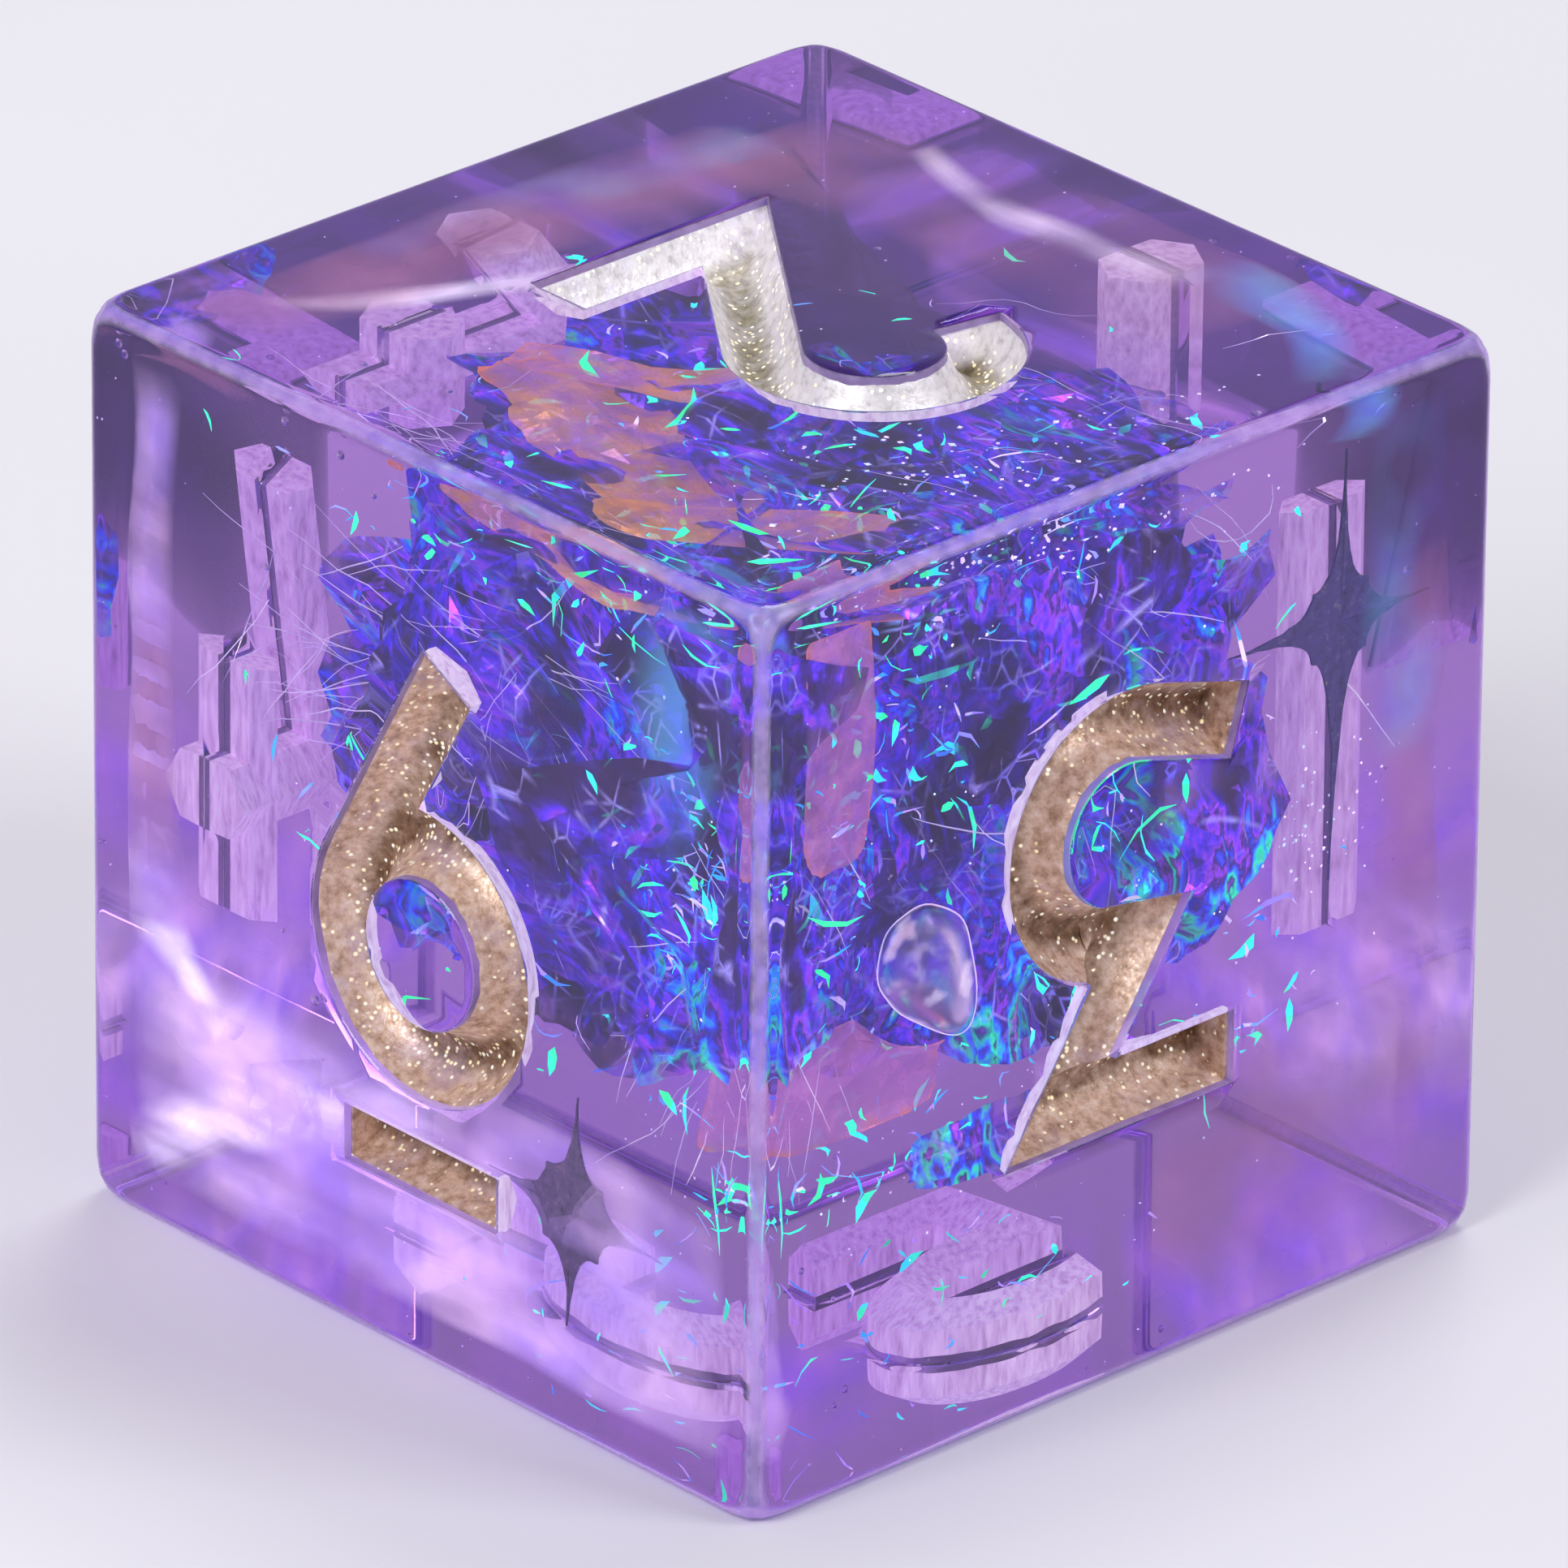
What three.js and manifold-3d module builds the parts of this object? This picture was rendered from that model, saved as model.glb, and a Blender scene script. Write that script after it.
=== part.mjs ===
// Six-sided resin die: cast clear resin in two pours, engraved and gold-inked numerals on all
// six faces, crumpled iridescent film and two star sequins set inside the resin.
// Millimetres, +Z up. The die stands on its 5 face, with its vertical axis through the origin.

import * as THREE from 'three';
import { mergeGeometries, mergeVertices } from 'three/addons/utils/BufferGeometryUtils.js';
import Module from 'manifold-3d';

const wasm = await Module();
wasm.setup();

// ---- driving dimensions -------------------------------------------------------------------

const EDGE = 16;               // the standard small die, edge to edge
const HALF = EDGE / 2;
const EDGE_ROUND = 0.28;       // polished edges
const CORNER_ROUND = 0.45;     // the tumbled corners are rounder than the edges
const CORNER_REACH = 0.8;      // how far from a corner its rounding begins
const POUR_PLANE = 6.3;        // height at which the first pour had set

const STROKE = 1.28;           // width of an engraved stroke
const WALL_DEPTH = 0.6;        // steep part of the engraving
const VALLEY_DEPTH = 0.95;     // bottom of its V floor
const WALL_DRAFT = 0.04;       // each wall leans in this much
const INK_COAT = 0.14;         // ink lying on the V floor
const INK_CLIMB = 0.22;        // how far the ink climbs above the foot of the wall
const FACE_OVERCUT = 0.4;      // cutters stand this far out of the face

const FILM_THICK = 0.1;
const STAR_THICK = 0.12;
const POCKET_GAP = 0.12;       // clearance of a pocket around film or star, on every side

// ---- materials ----------------------------------------------------------------------------

const resin = new THREE.MeshStandardMaterial({
  name: 'violet_resin', color: 0x7a54b8, roughness: 0.06, metalness: 0, transparent: true, opacity: 0.35,
});
const goldInk = new THREE.MeshStandardMaterial({
  name: 'gold_ink', color: 0xa98850, roughness: 0.45, metalness: 0.7,
});
const filmBlue = new THREE.MeshStandardMaterial({
  name: 'iridescent_film', color: 0x3b3fd0, roughness: 0.2, metalness: 0.5,
});
const starFoil = new THREE.MeshStandardMaterial({
  name: 'star_foil', color: 0x3c2f6e, roughness: 0.3, metalness: 0.6,
});

// ---- solids: to and from the joining and cutting library ------------------------------------

function toSolid(geometry) {
  const bare = geometry.index ? geometry.toNonIndexed() : geometry.clone();
  bare.deleteAttribute('normal');
  bare.deleteAttribute('uv');
  const merged = mergeVertices(bare, 1e-5);
  return new wasm.Manifold(new wasm.Mesh({
    numProp: 3,
    vertProperties: new Float32Array(merged.attributes.position.array),
    triVerts: new Uint32Array(merged.index.array),
  }));
}

function toGeometry(solid) {
  const mesh = solid.getMesh();
  const positions = new Float32Array(mesh.numVert * 3);
  for (let v = 0; v < mesh.numVert; v += 1) {
    for (let k = 0; k < 3; k += 1) {
      positions[v * 3 + k] = mesh.vertProperties[v * mesh.numProp + k];
    }
  }
  const geometry = new THREE.BufferGeometry();
  geometry.setAttribute('position', new THREE.BufferAttribute(positions, 3));
  geometry.setIndex(new THREE.BufferAttribute(new Uint32Array(mesh.triVerts), 1));
  geometry.computeVertexNormals();
  return geometry;
}

function addPart(group, name, solid, material) {
  const mesh = new THREE.Mesh(toGeometry(solid), material.clone());
  mesh.name = name;
  group.add(mesh);
}

function block(sizeX, sizeY, sizeZ, x, y, z) {
  return toSolid(new THREE.BoxGeometry(sizeX, sizeY, sizeZ).translate(x, y, z));
}

// ---- the outer block ------------------------------------------------------------------------

// A cube whose rounding grows from EDGE_ROUND along the edges to CORNER_ROUND at the corners.
function outerBlock() {
  const segments = 14;
  const crowding = 2.3;        // gathers the grid lines near the edges
  const cube = new THREE.BoxGeometry(2, 2, 2, segments, segments, segments);
  const position = cube.attributes.position;
  const p = new THREE.Vector3();
  const spread = (t) => Math.sign(t) * HALF * (1 - (1 - Math.abs(t)) ** crowding);
  for (let i = 0; i < position.count; i += 1) {
    p.fromBufferAttribute(position, i);
    p.set(spread(p.x), spread(p.y), spread(p.z));
    const least = Math.min(Math.abs(p.x), Math.abs(p.y), Math.abs(p.z));
    const nearCorner = THREE.MathUtils.smoothstep(least, HALF - CORNER_REACH, HALF);
    const radius = THREE.MathUtils.lerp(EDGE_ROUND, CORNER_ROUND, nearCorner);
    const core = new THREE.Vector3().copy(p).clampScalar(radius - HALF, HALF - radius);
    p.sub(core).setLength(radius).add(core);
    position.setXYZ(i, p.x, p.y, p.z + HALF);
  }
  return toSolid(cube);
}

// ---- engraved strokes -------------------------------------------------------------------------

// Points on an arc, in degrees, in the glyph's own plane (x to the right, y up).
function arc(cx, cy, radius, from, to, step = 12) {
  const count = Math.ceil(Math.abs(to - from) / step);
  const points = [];
  for (let i = 0; i <= count; i += 1) {
    const angle = THREE.MathUtils.degToRad(from + ((to - from) * i) / count);
    points.push(new THREE.Vector2(cx + radius * Math.cos(angle), cy + radius * Math.sin(angle)));
  }
  return points;
}

const at = (x, y) => new THREE.Vector2(x, y);

// The sideways vector at point i of a path, lengthened at a bend so that the stroke keeps its width.
function mitre(path, i, closed) {
  const last = path.length - 1;
  const before = path[i === 0 ? (closed ? last : 0) : i - 1];
  const after = path[i === last ? (closed ? 0 : last) : i + 1];
  const intoPoint = path[i].clone().sub(before);
  const outOfPoint = after.clone().sub(path[i]);
  if (intoPoint.length() === 0) intoPoint.copy(outOfPoint);
  if (outOfPoint.length() === 0) outOfPoint.copy(intoPoint);
  const left = (v) => new THREE.Vector2(-v.y, v.x).normalize();
  const sum = left(intoPoint).add(left(outOfPoint)).normalize();
  return sum.divideScalar(sum.dot(left(intoPoint)));
}

// A cross-section (across, out) swept along a path in the glyph plane; out is +z.
function sweep(path, section, closed = false) {
  const rings = path.map((point, i) => {
    const side = mitre(path, i, closed);
    return section.map(([across, out]) => [point.x + side.x * across, point.y + side.y * across, out]);
  });
  const count = section.length;
  const vertices = rings.flat(2);
  const indices = [];
  const spans = closed ? rings.length : rings.length - 1;
  for (let i = 0; i < spans; i += 1) {
    const a = i * count;
    const b = ((i + 1) % rings.length) * count;
    for (let j = 0; j < count; j += 1) {
      const k = (j + 1) % count;
      indices.push(a + j, b + k, b + j, a + j, a + k, b + k);
    }
  }
  if (!closed) {
    const end = (rings.length - 1) * count;
    for (let j = 1; j < count - 1; j += 1) {
      indices.push(0, j + 1, j);
      indices.push(end, end + j, end + j + 1);
    }
  }
  const geometry = new THREE.BufferGeometry();
  geometry.setAttribute('position', new THREE.Float32BufferAttribute(vertices, 3));
  geometry.setIndex(indices);
  return toSolid(geometry);
}

// The engraving: steep walls and a V floor. It is listed so that the swept solid faces outward.
function grooveSection(width) {
  const half = width / 2;
  return [
    [-half, FACE_OVERCUT],
    [-half + WALL_DRAFT, -WALL_DEPTH],
    [0, -VALLEY_DEPTH],
    [half - WALL_DRAFT, -WALL_DEPTH],
    [half, FACE_OVERCUT],
  ];
}

// The bed that the ink could fill: the lower part of the engraving, a little way up its walls.
function bedSection(width) {
  const half = width / 2 - WALL_DRAFT;
  const top = INK_CLIMB - WALL_DEPTH;
  return [[-half, top], [-half, -WALL_DEPTH], [0, -VALLEY_DEPTH], [half, -WALL_DEPTH], [half, top]];
}

// The open space over the ink.
function openSection(width) {
  const half = width / 2 - WALL_DRAFT - INK_COAT / 2;
  const floor = INK_COAT - WALL_DEPTH;
  return [
    [-half, FACE_OVERCUT],
    [-half, floor],
    [0, INK_COAT - VALLEY_DEPTH],
    [half, floor],
    [half, FACE_OVERCUT],
  ];
}

// ---- numerals: each is a list of strokes in the glyph plane, centred on its face ----------------

const NUMERALS = {
  1: [{ path: [at(0, 3.75), at(0, -3.8)] }],
  2: [{ path: [...arc(-0.2, 1.75, 1.8, 172, -37), at(-1.6, -3.05), at(2.25, -3.05)] }],
  3: [
    { path: [at(-2.4, 2.85), at(1.4, 2.85), at(-0.35, 0.24), at(0.95, 0.02)] },
    { path: [...arc(0.05, -1.7, 1.9, 86, -107), at(-2.4, -2.95)] },
  ],
  4: [
    { path: [at(-0.7, 3.75), at(-2.15, -1.6), at(2.5, -1.6)] },
    { path: [at(0.95, 0.7), at(0.95, -3.8)] },
  ],
  5: [
    { path: [at(1.9, 3.05), at(-1.25, 3.05), at(-1.5, 0.12), at(0.35, 0.12)] },
    { path: arc(-0.1, -1.75, 1.9, 100, -125) },
  ],
  6: [
    { path: [at(0.67, 4.33), ...arc(0.05, -0.75, 1.93, 151, 190)] },
    { path: arc(0.05, -0.75, 1.93, 0, 348), closed: true },
  ],
};
const UNDERLINE = [{ path: [at(-1.75, -4.55), at(1.9, -4.55)], width: 1.0 }];

// right and up of each glyph on its face, seen from outside; opposite faces add up to seven.
const AXIS = {
  '+X': new THREE.Vector3(1, 0, 0), '-X': new THREE.Vector3(-1, 0, 0),
  '+Y': new THREE.Vector3(0, 1, 0), '-Y': new THREE.Vector3(0, -1, 0),
  '+Z': new THREE.Vector3(0, 0, 1), '-Z': new THREE.Vector3(0, 0, -1),
};
const FACES = {
  1: { right: '-X', up: '+Z' },
  2: { right: '-Y', up: '+X' },
  3: { right: '-Y', up: '-Z' },
  4: { right: '-Y', up: '+Z' },
  5: { right: '-Y', up: '-X' },
  6: { right: '+X', up: '+Z' },
};

function facePlacement(number) {
  const right = AXIS[FACES[number].right];
  const up = AXIS[FACES[number].up];
  const out = new THREE.Vector3().crossVectors(right, up);
  const matrix = new THREE.Matrix4().makeBasis(right, up, out);
  return matrix.setPosition(out.x * HALF, out.y * HALF, out.z * HALF + HALF);
}

function placed(solid, matrix) {
  return toSolid(toGeometry(solid).applyMatrix4(matrix));
}

function strokesSolid(strokes, makeSection) {
  let whole = null;
  for (const stroke of strokes) {
    const section = makeSection(stroke.width ?? STROKE);
    const solid = sweep(stroke.path, section, stroke.closed);
    whole = whole ? whole.add(solid) : solid;
  }
  return whole;
}

// The ink of a numeral: its bed less the open space. Where strokes cross, the open space of each
// one is cleared from the other.
function inkSolid(strokes) {
  return strokesSolid(strokes, bedSection).subtract(strokesSolid(strokes, openSection));
}

// ---- film and stars -----------------------------------------------------------------------------

// A strip of film folded to and fro about its own line, standing on edge.
function foldedLine({ x, y, heading, folds, pitch, swing }) {
  const angle = THREE.MathUtils.degToRad(heading);
  const along = new THREE.Vector2(Math.cos(angle), Math.sin(angle));
  const side = new THREE.Vector2(-along.y, along.x);
  const points = [];
  for (let i = 0; i <= folds; i += 1) {
    const run = (i - folds / 2) * pitch;
    const sway = (i % 2 === 0 ? swing : -swing) / 2;
    points.push(at(x + along.x * run + side.x * sway, y + along.y * run + side.y * sway));
  }
  return points;
}

// The same line a little longer at both ends, for the pocket.
function lengthened(path, extra) {
  const last = path.length - 1;
  const first = path[0].clone().sub(path[1]).setLength(extra).add(path[0]);
  const final = path[last].clone().sub(path[last - 1]).setLength(extra).add(path[last]);
  return [first, ...path.slice(1, last), final];
}

function uprightStrip(path, thickness, low, high) {
  const half = thickness / 2;
  return sweep(path, [[-half, high], [-half, low], [half, low], [half, high]]);
}

const FILM_STRIPS = [
  { x: 4.6, y: -5.0, heading: 40, folds: 5, pitch: 0.85, swing: 1.0, high: 14.6 },
  { x: 0.9, y: -4.9, heading: -15, folds: 4, pitch: 0.85, swing: 0.9, high: 13.9 },
  { x: -3.6, y: -4.6, heading: 20, folds: 3, pitch: 0.9, swing: 0.9, high: 12.6 },
  { x: 4.9, y: -1.2, heading: 75, folds: 5, pitch: 0.8, swing: 1.0, high: 14.2 },
  { x: 2.2, y: -1.6, heading: 110, folds: 4, pitch: 0.8, swing: 1.0, high: 14.7 },
  { x: -1.2, y: -1.2, heading: 30, folds: 4, pitch: 0.85, swing: 1.0, high: 13.4 },
  { x: 3.3, y: 3.1, heading: -35, folds: 4, pitch: 0.85, swing: 0.9, high: 13.2 },
  { x: -0.8, y: 2.9, heading: 15, folds: 4, pitch: 0.85, swing: 0.9, high: 12.2 },
  { x: -4.4, y: 0.9, heading: 80, folds: 3, pitch: 0.9, swing: 0.9, high: 11.4 },
];

function filmStrip(strip) {
  return uprightStrip(foldedLine(strip), FILM_THICK, POUR_PLANE + POCKET_GAP, strip.high);
}

function filmPocket(strip) {
  const path = lengthened(foldedLine(strip), POCKET_GAP);
  const width = FILM_THICK + 2 * POCKET_GAP;
  return uprightStrip(path, width, POUR_PLANE - POCKET_GAP, strip.high + POCKET_GAP);
}

// A four-pointed sparkle: two long and two short arms with hollow sides, each arm's length its own.
const STARS = {
  star_sequin_upper: {
    centre: [6.7, 5.2, 11.6], facing: '+X', arms: { right: 2.0, up: 3.1, left: 2.6, down: 4.7 }, waist: 0.62,
  },
  star_sequin_lower: {
    centre: [3.05, -6.7, 3.6], facing: '-Y', arms: { right: 2.0, up: 2.2, left: 2.0, down: 1.9 }, waist: 0.62,
  },
};

function starShape({ arms, waist }) {
  const hollow = waist / Math.SQRT2;
  const shape = new THREE.Shape();
  shape.moveTo(arms.right, 0);
  shape.quadraticCurveTo(hollow, 0, hollow, hollow);
  shape.quadraticCurveTo(0, hollow, 0, arms.up);
  shape.quadraticCurveTo(0, hollow, -hollow, hollow);
  shape.quadraticCurveTo(-hollow, 0, -arms.left, 0);
  shape.quadraticCurveTo(-hollow, 0, -hollow, -hollow);
  shape.quadraticCurveTo(0, -hollow, 0, -arms.down);
  shape.quadraticCurveTo(0, -hollow, hollow, -hollow);
  shape.quadraticCurveTo(hollow, 0, arms.right, 0);
  return shape;
}

function standing({ centre, facing }) {
  const out = AXIS[facing];
  const up = AXIS['+Z'];
  const right = new THREE.Vector3().crossVectors(up, out);
  return new THREE.Matrix4().makeBasis(right, up, out).setPosition(...centre);
}

function starSolid(star) {
  const options = { depth: STAR_THICK, bevelEnabled: false, curveSegments: 5 };
  const plate = new THREE.ExtrudeGeometry(starShape(star), options).translate(0, 0, -STAR_THICK / 2);
  return toSolid(plate.applyMatrix4(standing(star)));
}

// A flat pocket just larger than the star, open at the pour plane.
function starPocket(star) {
  const { arms, centre } = star;
  const width = arms.left + arms.right + 2 * POCKET_GAP;
  const above = centre[2] > POUR_PLANE;
  const top = above ? centre[2] + arms.up + POCKET_GAP : POUR_PLANE + POCKET_GAP;
  const bottom = above ? POUR_PLANE - POCKET_GAP : centre[2] - arms.down - POCKET_GAP;
  const pocket = new THREE.BoxGeometry(width, top - bottom, STAR_THICK + 2 * POCKET_GAP);
  pocket.translate((arms.right - arms.left) / 2, (top + bottom) / 2 - centre[2], 0);
  return toSolid(pocket.applyMatrix4(standing(star)));
}

// ---- assembly -----------------------------------------------------------------------------------

const die = new THREE.Group();
die.name = 'polyhedral_die';

let cast = outerBlock();
for (const number of Object.keys(NUMERALS)) {
  cast = cast.subtract(placed(strokesSolid(NUMERALS[number], grooveSection), facePlacement(number)));
}
cast = cast.subtract(placed(strokesSolid(UNDERLINE, grooveSection), facePlacement(6)));

const room = 2 * EDGE;
const lowerHalf = block(room, room, room, 0, 0, POUR_PLANE - room / 2);
const upperHalf = block(room, room, room, 0, 0, POUR_PLANE + room / 2);
let lowerPour = cast.intersect(lowerHalf);
let upperPour = cast.intersect(upperHalf);

for (const strip of FILM_STRIPS) {
  upperPour = upperPour.subtract(filmPocket(strip).intersect(upperHalf));
}
upperPour = upperPour.subtract(starPocket(STARS.star_sequin_upper).intersect(upperHalf));
lowerPour = lowerPour.subtract(starPocket(STARS.star_sequin_lower).intersect(lowerHalf));

addPart(die, 'resin_lower_pour', lowerPour, resin);
addPart(die, 'resin_upper_pour', upperPour, resin);

for (const number of Object.keys(NUMERALS)) {
  addPart(die, `numeral_${number}_ink`, placed(inkSolid(NUMERALS[number]), facePlacement(number)), goldInk);
}
addPart(die, 'underline_6_ink', placed(inkSolid(UNDERLINE), facePlacement(6)), goldInk);

FILM_STRIPS.forEach((strip, i) => {
  addPart(die, `film_fold_${i + 1}`, filmStrip(strip), filmBlue);
});
for (const [name, star] of Object.entries(STARS)) {
  addPart(die, name, starSolid(star), starFoil);
}

export default die;
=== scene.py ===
"""Six-sided cast-resin die: violet resin, gold-inked engraved numerals, iridescent film and stars.

All shapes are worked out in millimetres on the CAD box and written to the meshes in metres.
"""

import math
import random

import bmesh
import bpy
from mathutils import Matrix, Vector, noise
from mathutils.geometry import delaunay_2d_cdt


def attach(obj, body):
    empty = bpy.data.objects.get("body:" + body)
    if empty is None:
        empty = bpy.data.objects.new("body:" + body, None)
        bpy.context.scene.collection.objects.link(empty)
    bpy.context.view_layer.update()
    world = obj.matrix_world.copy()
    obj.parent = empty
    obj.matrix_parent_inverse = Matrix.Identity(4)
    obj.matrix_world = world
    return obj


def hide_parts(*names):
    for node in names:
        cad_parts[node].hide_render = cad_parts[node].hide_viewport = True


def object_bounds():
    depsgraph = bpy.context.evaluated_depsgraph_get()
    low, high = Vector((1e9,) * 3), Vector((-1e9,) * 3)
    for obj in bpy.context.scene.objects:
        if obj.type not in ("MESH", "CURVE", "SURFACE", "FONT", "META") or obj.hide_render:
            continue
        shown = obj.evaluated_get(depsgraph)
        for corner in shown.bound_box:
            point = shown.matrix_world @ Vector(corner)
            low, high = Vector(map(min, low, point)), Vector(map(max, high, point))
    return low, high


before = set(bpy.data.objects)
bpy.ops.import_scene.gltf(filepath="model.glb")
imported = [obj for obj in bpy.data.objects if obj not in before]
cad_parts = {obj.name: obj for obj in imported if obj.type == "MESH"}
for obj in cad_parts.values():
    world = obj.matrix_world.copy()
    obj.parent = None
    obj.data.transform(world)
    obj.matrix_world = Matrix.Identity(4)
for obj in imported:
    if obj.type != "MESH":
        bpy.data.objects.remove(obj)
CAD_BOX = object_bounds()

MM = 0.001
EDGE = (CAD_BOX[1][0] - CAD_BOX[0][0]) / MM
HALF = EDGE / 2

# ---- camera -----------------------------------------------

VIEW_AZIMUTH = 46.98
VIEW_ELEVATION = 25.73
VIEW_DISTANCE = 0.3232
VIEW_ROLL = 0.58
LENS = 459.5
AIM = Vector((0.0, 0.0, HALF * MM))
FRAME_SHIFT = (-0.0013, -0.0107)


def direction(azimuth, elevation):
    """The unit vector from the die towards a place seen at this azimuth and elevation."""
    a, e = math.radians(azimuth), math.radians(elevation)
    return Vector((math.sin(a) * math.cos(e), -math.cos(a) * math.cos(e), math.sin(e)))


def make_camera():
    data = bpy.data.cameras.new("camera")
    data.lens = LENS
    data.sensor_width = 36.0
    data.shift_x, data.shift_y = FRAME_SHIFT
    data.clip_start = 0.01
    data.clip_end = 20.0
    camera = bpy.data.objects.new("camera", data)
    bpy.context.scene.collection.objects.link(camera)
    towards = direction(VIEW_AZIMUTH, VIEW_ELEVATION)
    roll = Matrix.Rotation(math.radians(VIEW_ROLL), 4, "Z").to_quaternion()
    turn = (-towards).to_track_quat("-Z", "Y") @ roll
    camera.matrix_world = Matrix.Translation(AIM + towards * VIEW_DISTANCE) @ turn.to_matrix().to_4x4()
    bpy.context.scene.camera = camera


make_camera()

# ---- mesh helpers -----------------------------------------


def new_piece(name, verts, faces, materials, smooth=False):
    """A mesh object from vertices in millimetres."""
    mesh = bpy.data.meshes.new(name)
    mesh.from_pydata([(x * MM, y * MM, z * MM) for x, y, z in verts], [], faces)
    mesh.update()
    for material in materials:
        mesh.materials.append(material)
    if smooth:
        mesh.shade_smooth()
    else:
        mesh.shade_flat()
    piece = bpy.data.objects.new(name, mesh)
    bpy.context.scene.collection.objects.link(piece)
    return piece


def applied(piece):
    """Writes the piece's modifiers into its mesh."""
    graph = bpy.context.evaluated_depsgraph_get()
    mesh = bpy.data.meshes.new_from_object(piece.evaluated_get(graph))
    piece.modifiers.clear()
    old = piece.data
    piece.data = mesh
    bpy.data.meshes.remove(old)
    mesh.name = piece.name
    return piece


def boolean(piece, other, operation):
    modifier = piece.modifiers.new(operation, "BOOLEAN")
    modifier.operation = operation
    modifier.solver = "MANIFOLD"
    modifier.material_mode = "TRANSFER"
    modifier.object = other
    applied(piece)
    bpy.data.objects.remove(other)
    return piece


SLIVER = 0.001            # edges shorter than this, in millimetres, are left over from a cut


def without_slivers(piece):
    """Closes up the needle faces that the cuts leave behind."""
    bm = bmesh.new()
    bm.from_mesh(piece.data)
    bmesh.ops.dissolve_degenerate(bm, dist=SLIVER * MM, edges=bm.edges[:])
    bm.to_mesh(piece.data)
    bm.free()
    return piece


def finish_piece(piece, slot, *nodes):
    """Every piece of the die is one rigid body with it."""
    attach(piece, "root")
    if nodes:
        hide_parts(*nodes)
    return piece


# ---- material helpers -------------------------------------


class Nodes:
    """Short calls for building one material's node tree."""

    def __init__(self, name):
        self.material = bpy.data.materials.new(name)
        self.material.use_nodes = True
        self.tree = self.material.node_tree
        self.tree.nodes.clear()
        self.output = self.tree.nodes.new("ShaderNodeOutputMaterial")
        self.coords = self.tree.nodes.new("ShaderNodeTexCoord").outputs["Object"]

    def add(self, kind, inputs=None, **settings):
        node = self.tree.nodes.new(kind)
        for key, value in settings.items():
            setattr(node, key, value)
        for key, value in (inputs or {}).items():
            self.set(node.inputs[key], value)
        return node

    def set(self, socket, value):
        if isinstance(value, bpy.types.NodeSocket):
            self.tree.links.new(value, socket)
        else:
            socket.default_value = value

    def math(self, operation, a, b=0.0, clamp=False):
        node = self.add("ShaderNodeMath", {0: a, 1: b}, operation=operation, use_clamp=clamp)
        return node.outputs[0]

    def times(self, a, b):
        return self.math("MULTIPLY", a, b)

    def stretched(self, scale, turn=(0, 0, 0)):
        """Object coordinates turned and scaled by (x, y, z), in units of one per millimetre."""
        inputs = {"Vector": self.coords, "Rotation": turn, "Scale": [s / MM for s in scale]}
        return self.add("ShaderNodeMapping", inputs).outputs[0]

    def noise(self, scale, detail=3.0, roughness=0.5, vector=None):
        """Smooth noise whose features are about 1 / scale millimetres wide."""
        vector = vector or self.stretched((1, 1, 1))
        inputs = {"Vector": vector, "Scale": scale, "Detail": detail, "Roughness": roughness}
        return self.add("ShaderNodeTexNoise", inputs).outputs[0]

    def cells(self, scale, output="Color"):
        inputs = {"Vector": self.stretched((1, 1, 1)), "Scale": scale}
        return self.add("ShaderNodeTexVoronoi", inputs).outputs[output]

    def ramp(self, value, stops):
        node = self.add("ShaderNodeValToRGB", {"Fac": value})
        elements = node.color_ramp.elements
        while len(elements) < len(stops):
            elements.new(0.5)
        for element, (place, colour) in zip(elements, stops):
            element.position = place
            element.color = (*colour, 1.0) if len(colour) == 3 else colour
        return node.outputs[0]

    def grey(self, value, low, high, from_low=0.0, from_high=1.0):
        inputs = {0: value, 1: from_low, 2: from_high, 3: low, 4: high}
        return self.add("ShaderNodeMapRange", inputs).outputs[0]

    def mix(self, factor, a, b):
        node = self.add("ShaderNodeMix", data_type="RGBA")
        self.set(node.inputs[0], factor)
        self.set(node.inputs[6], a if isinstance(a, bpy.types.NodeSocket) else (*a, 1.0))
        self.set(node.inputs[7], b if isinstance(b, bpy.types.NodeSocket) else (*b, 1.0))
        return node.outputs[2]

    def bump(self, height, strength, depth_mm):
        inputs = {"Height": height, "Strength": strength, "Distance": depth_mm * MM}
        return self.add("ShaderNodeBump", inputs).outputs[0]

    def surface(self, inputs, volume=None):
        shader = self.add("ShaderNodeBsdfPrincipled", inputs)
        self.tree.links.new(shader.outputs[0], self.output.inputs["Surface"])
        if volume:
            self.tree.links.new(volume, self.output.inputs["Volume"])
        return self.material


# ---- materials --------------------------------------------

RESIN_IOR = 1.52
RESIN_PER_MM = (0.044, 0.084, 0.020)      # light lost per millimetre, red, green and blue
RESIN_DENSITY_PER_MM = 0.25


def depth_below_face(n):
    """How far, in millimetres, a point lies under the nearest face of the cube."""
    split = n.add("ShaderNodeSeparateXYZ", {0: n.stretched((1, 1, 1))}).outputs
    reach = [n.math("ABSOLUTE", split[0]), n.math("ABSOLUTE", split[1])]
    reach.append(n.math("ABSOLUTE", n.math("SUBTRACT", split[2], HALF)))
    most = n.math("MAXIMUM", n.math("MAXIMUM", reach[0], reach[1]), reach[2])
    return n.math("SUBTRACT", HALF, most)


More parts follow.
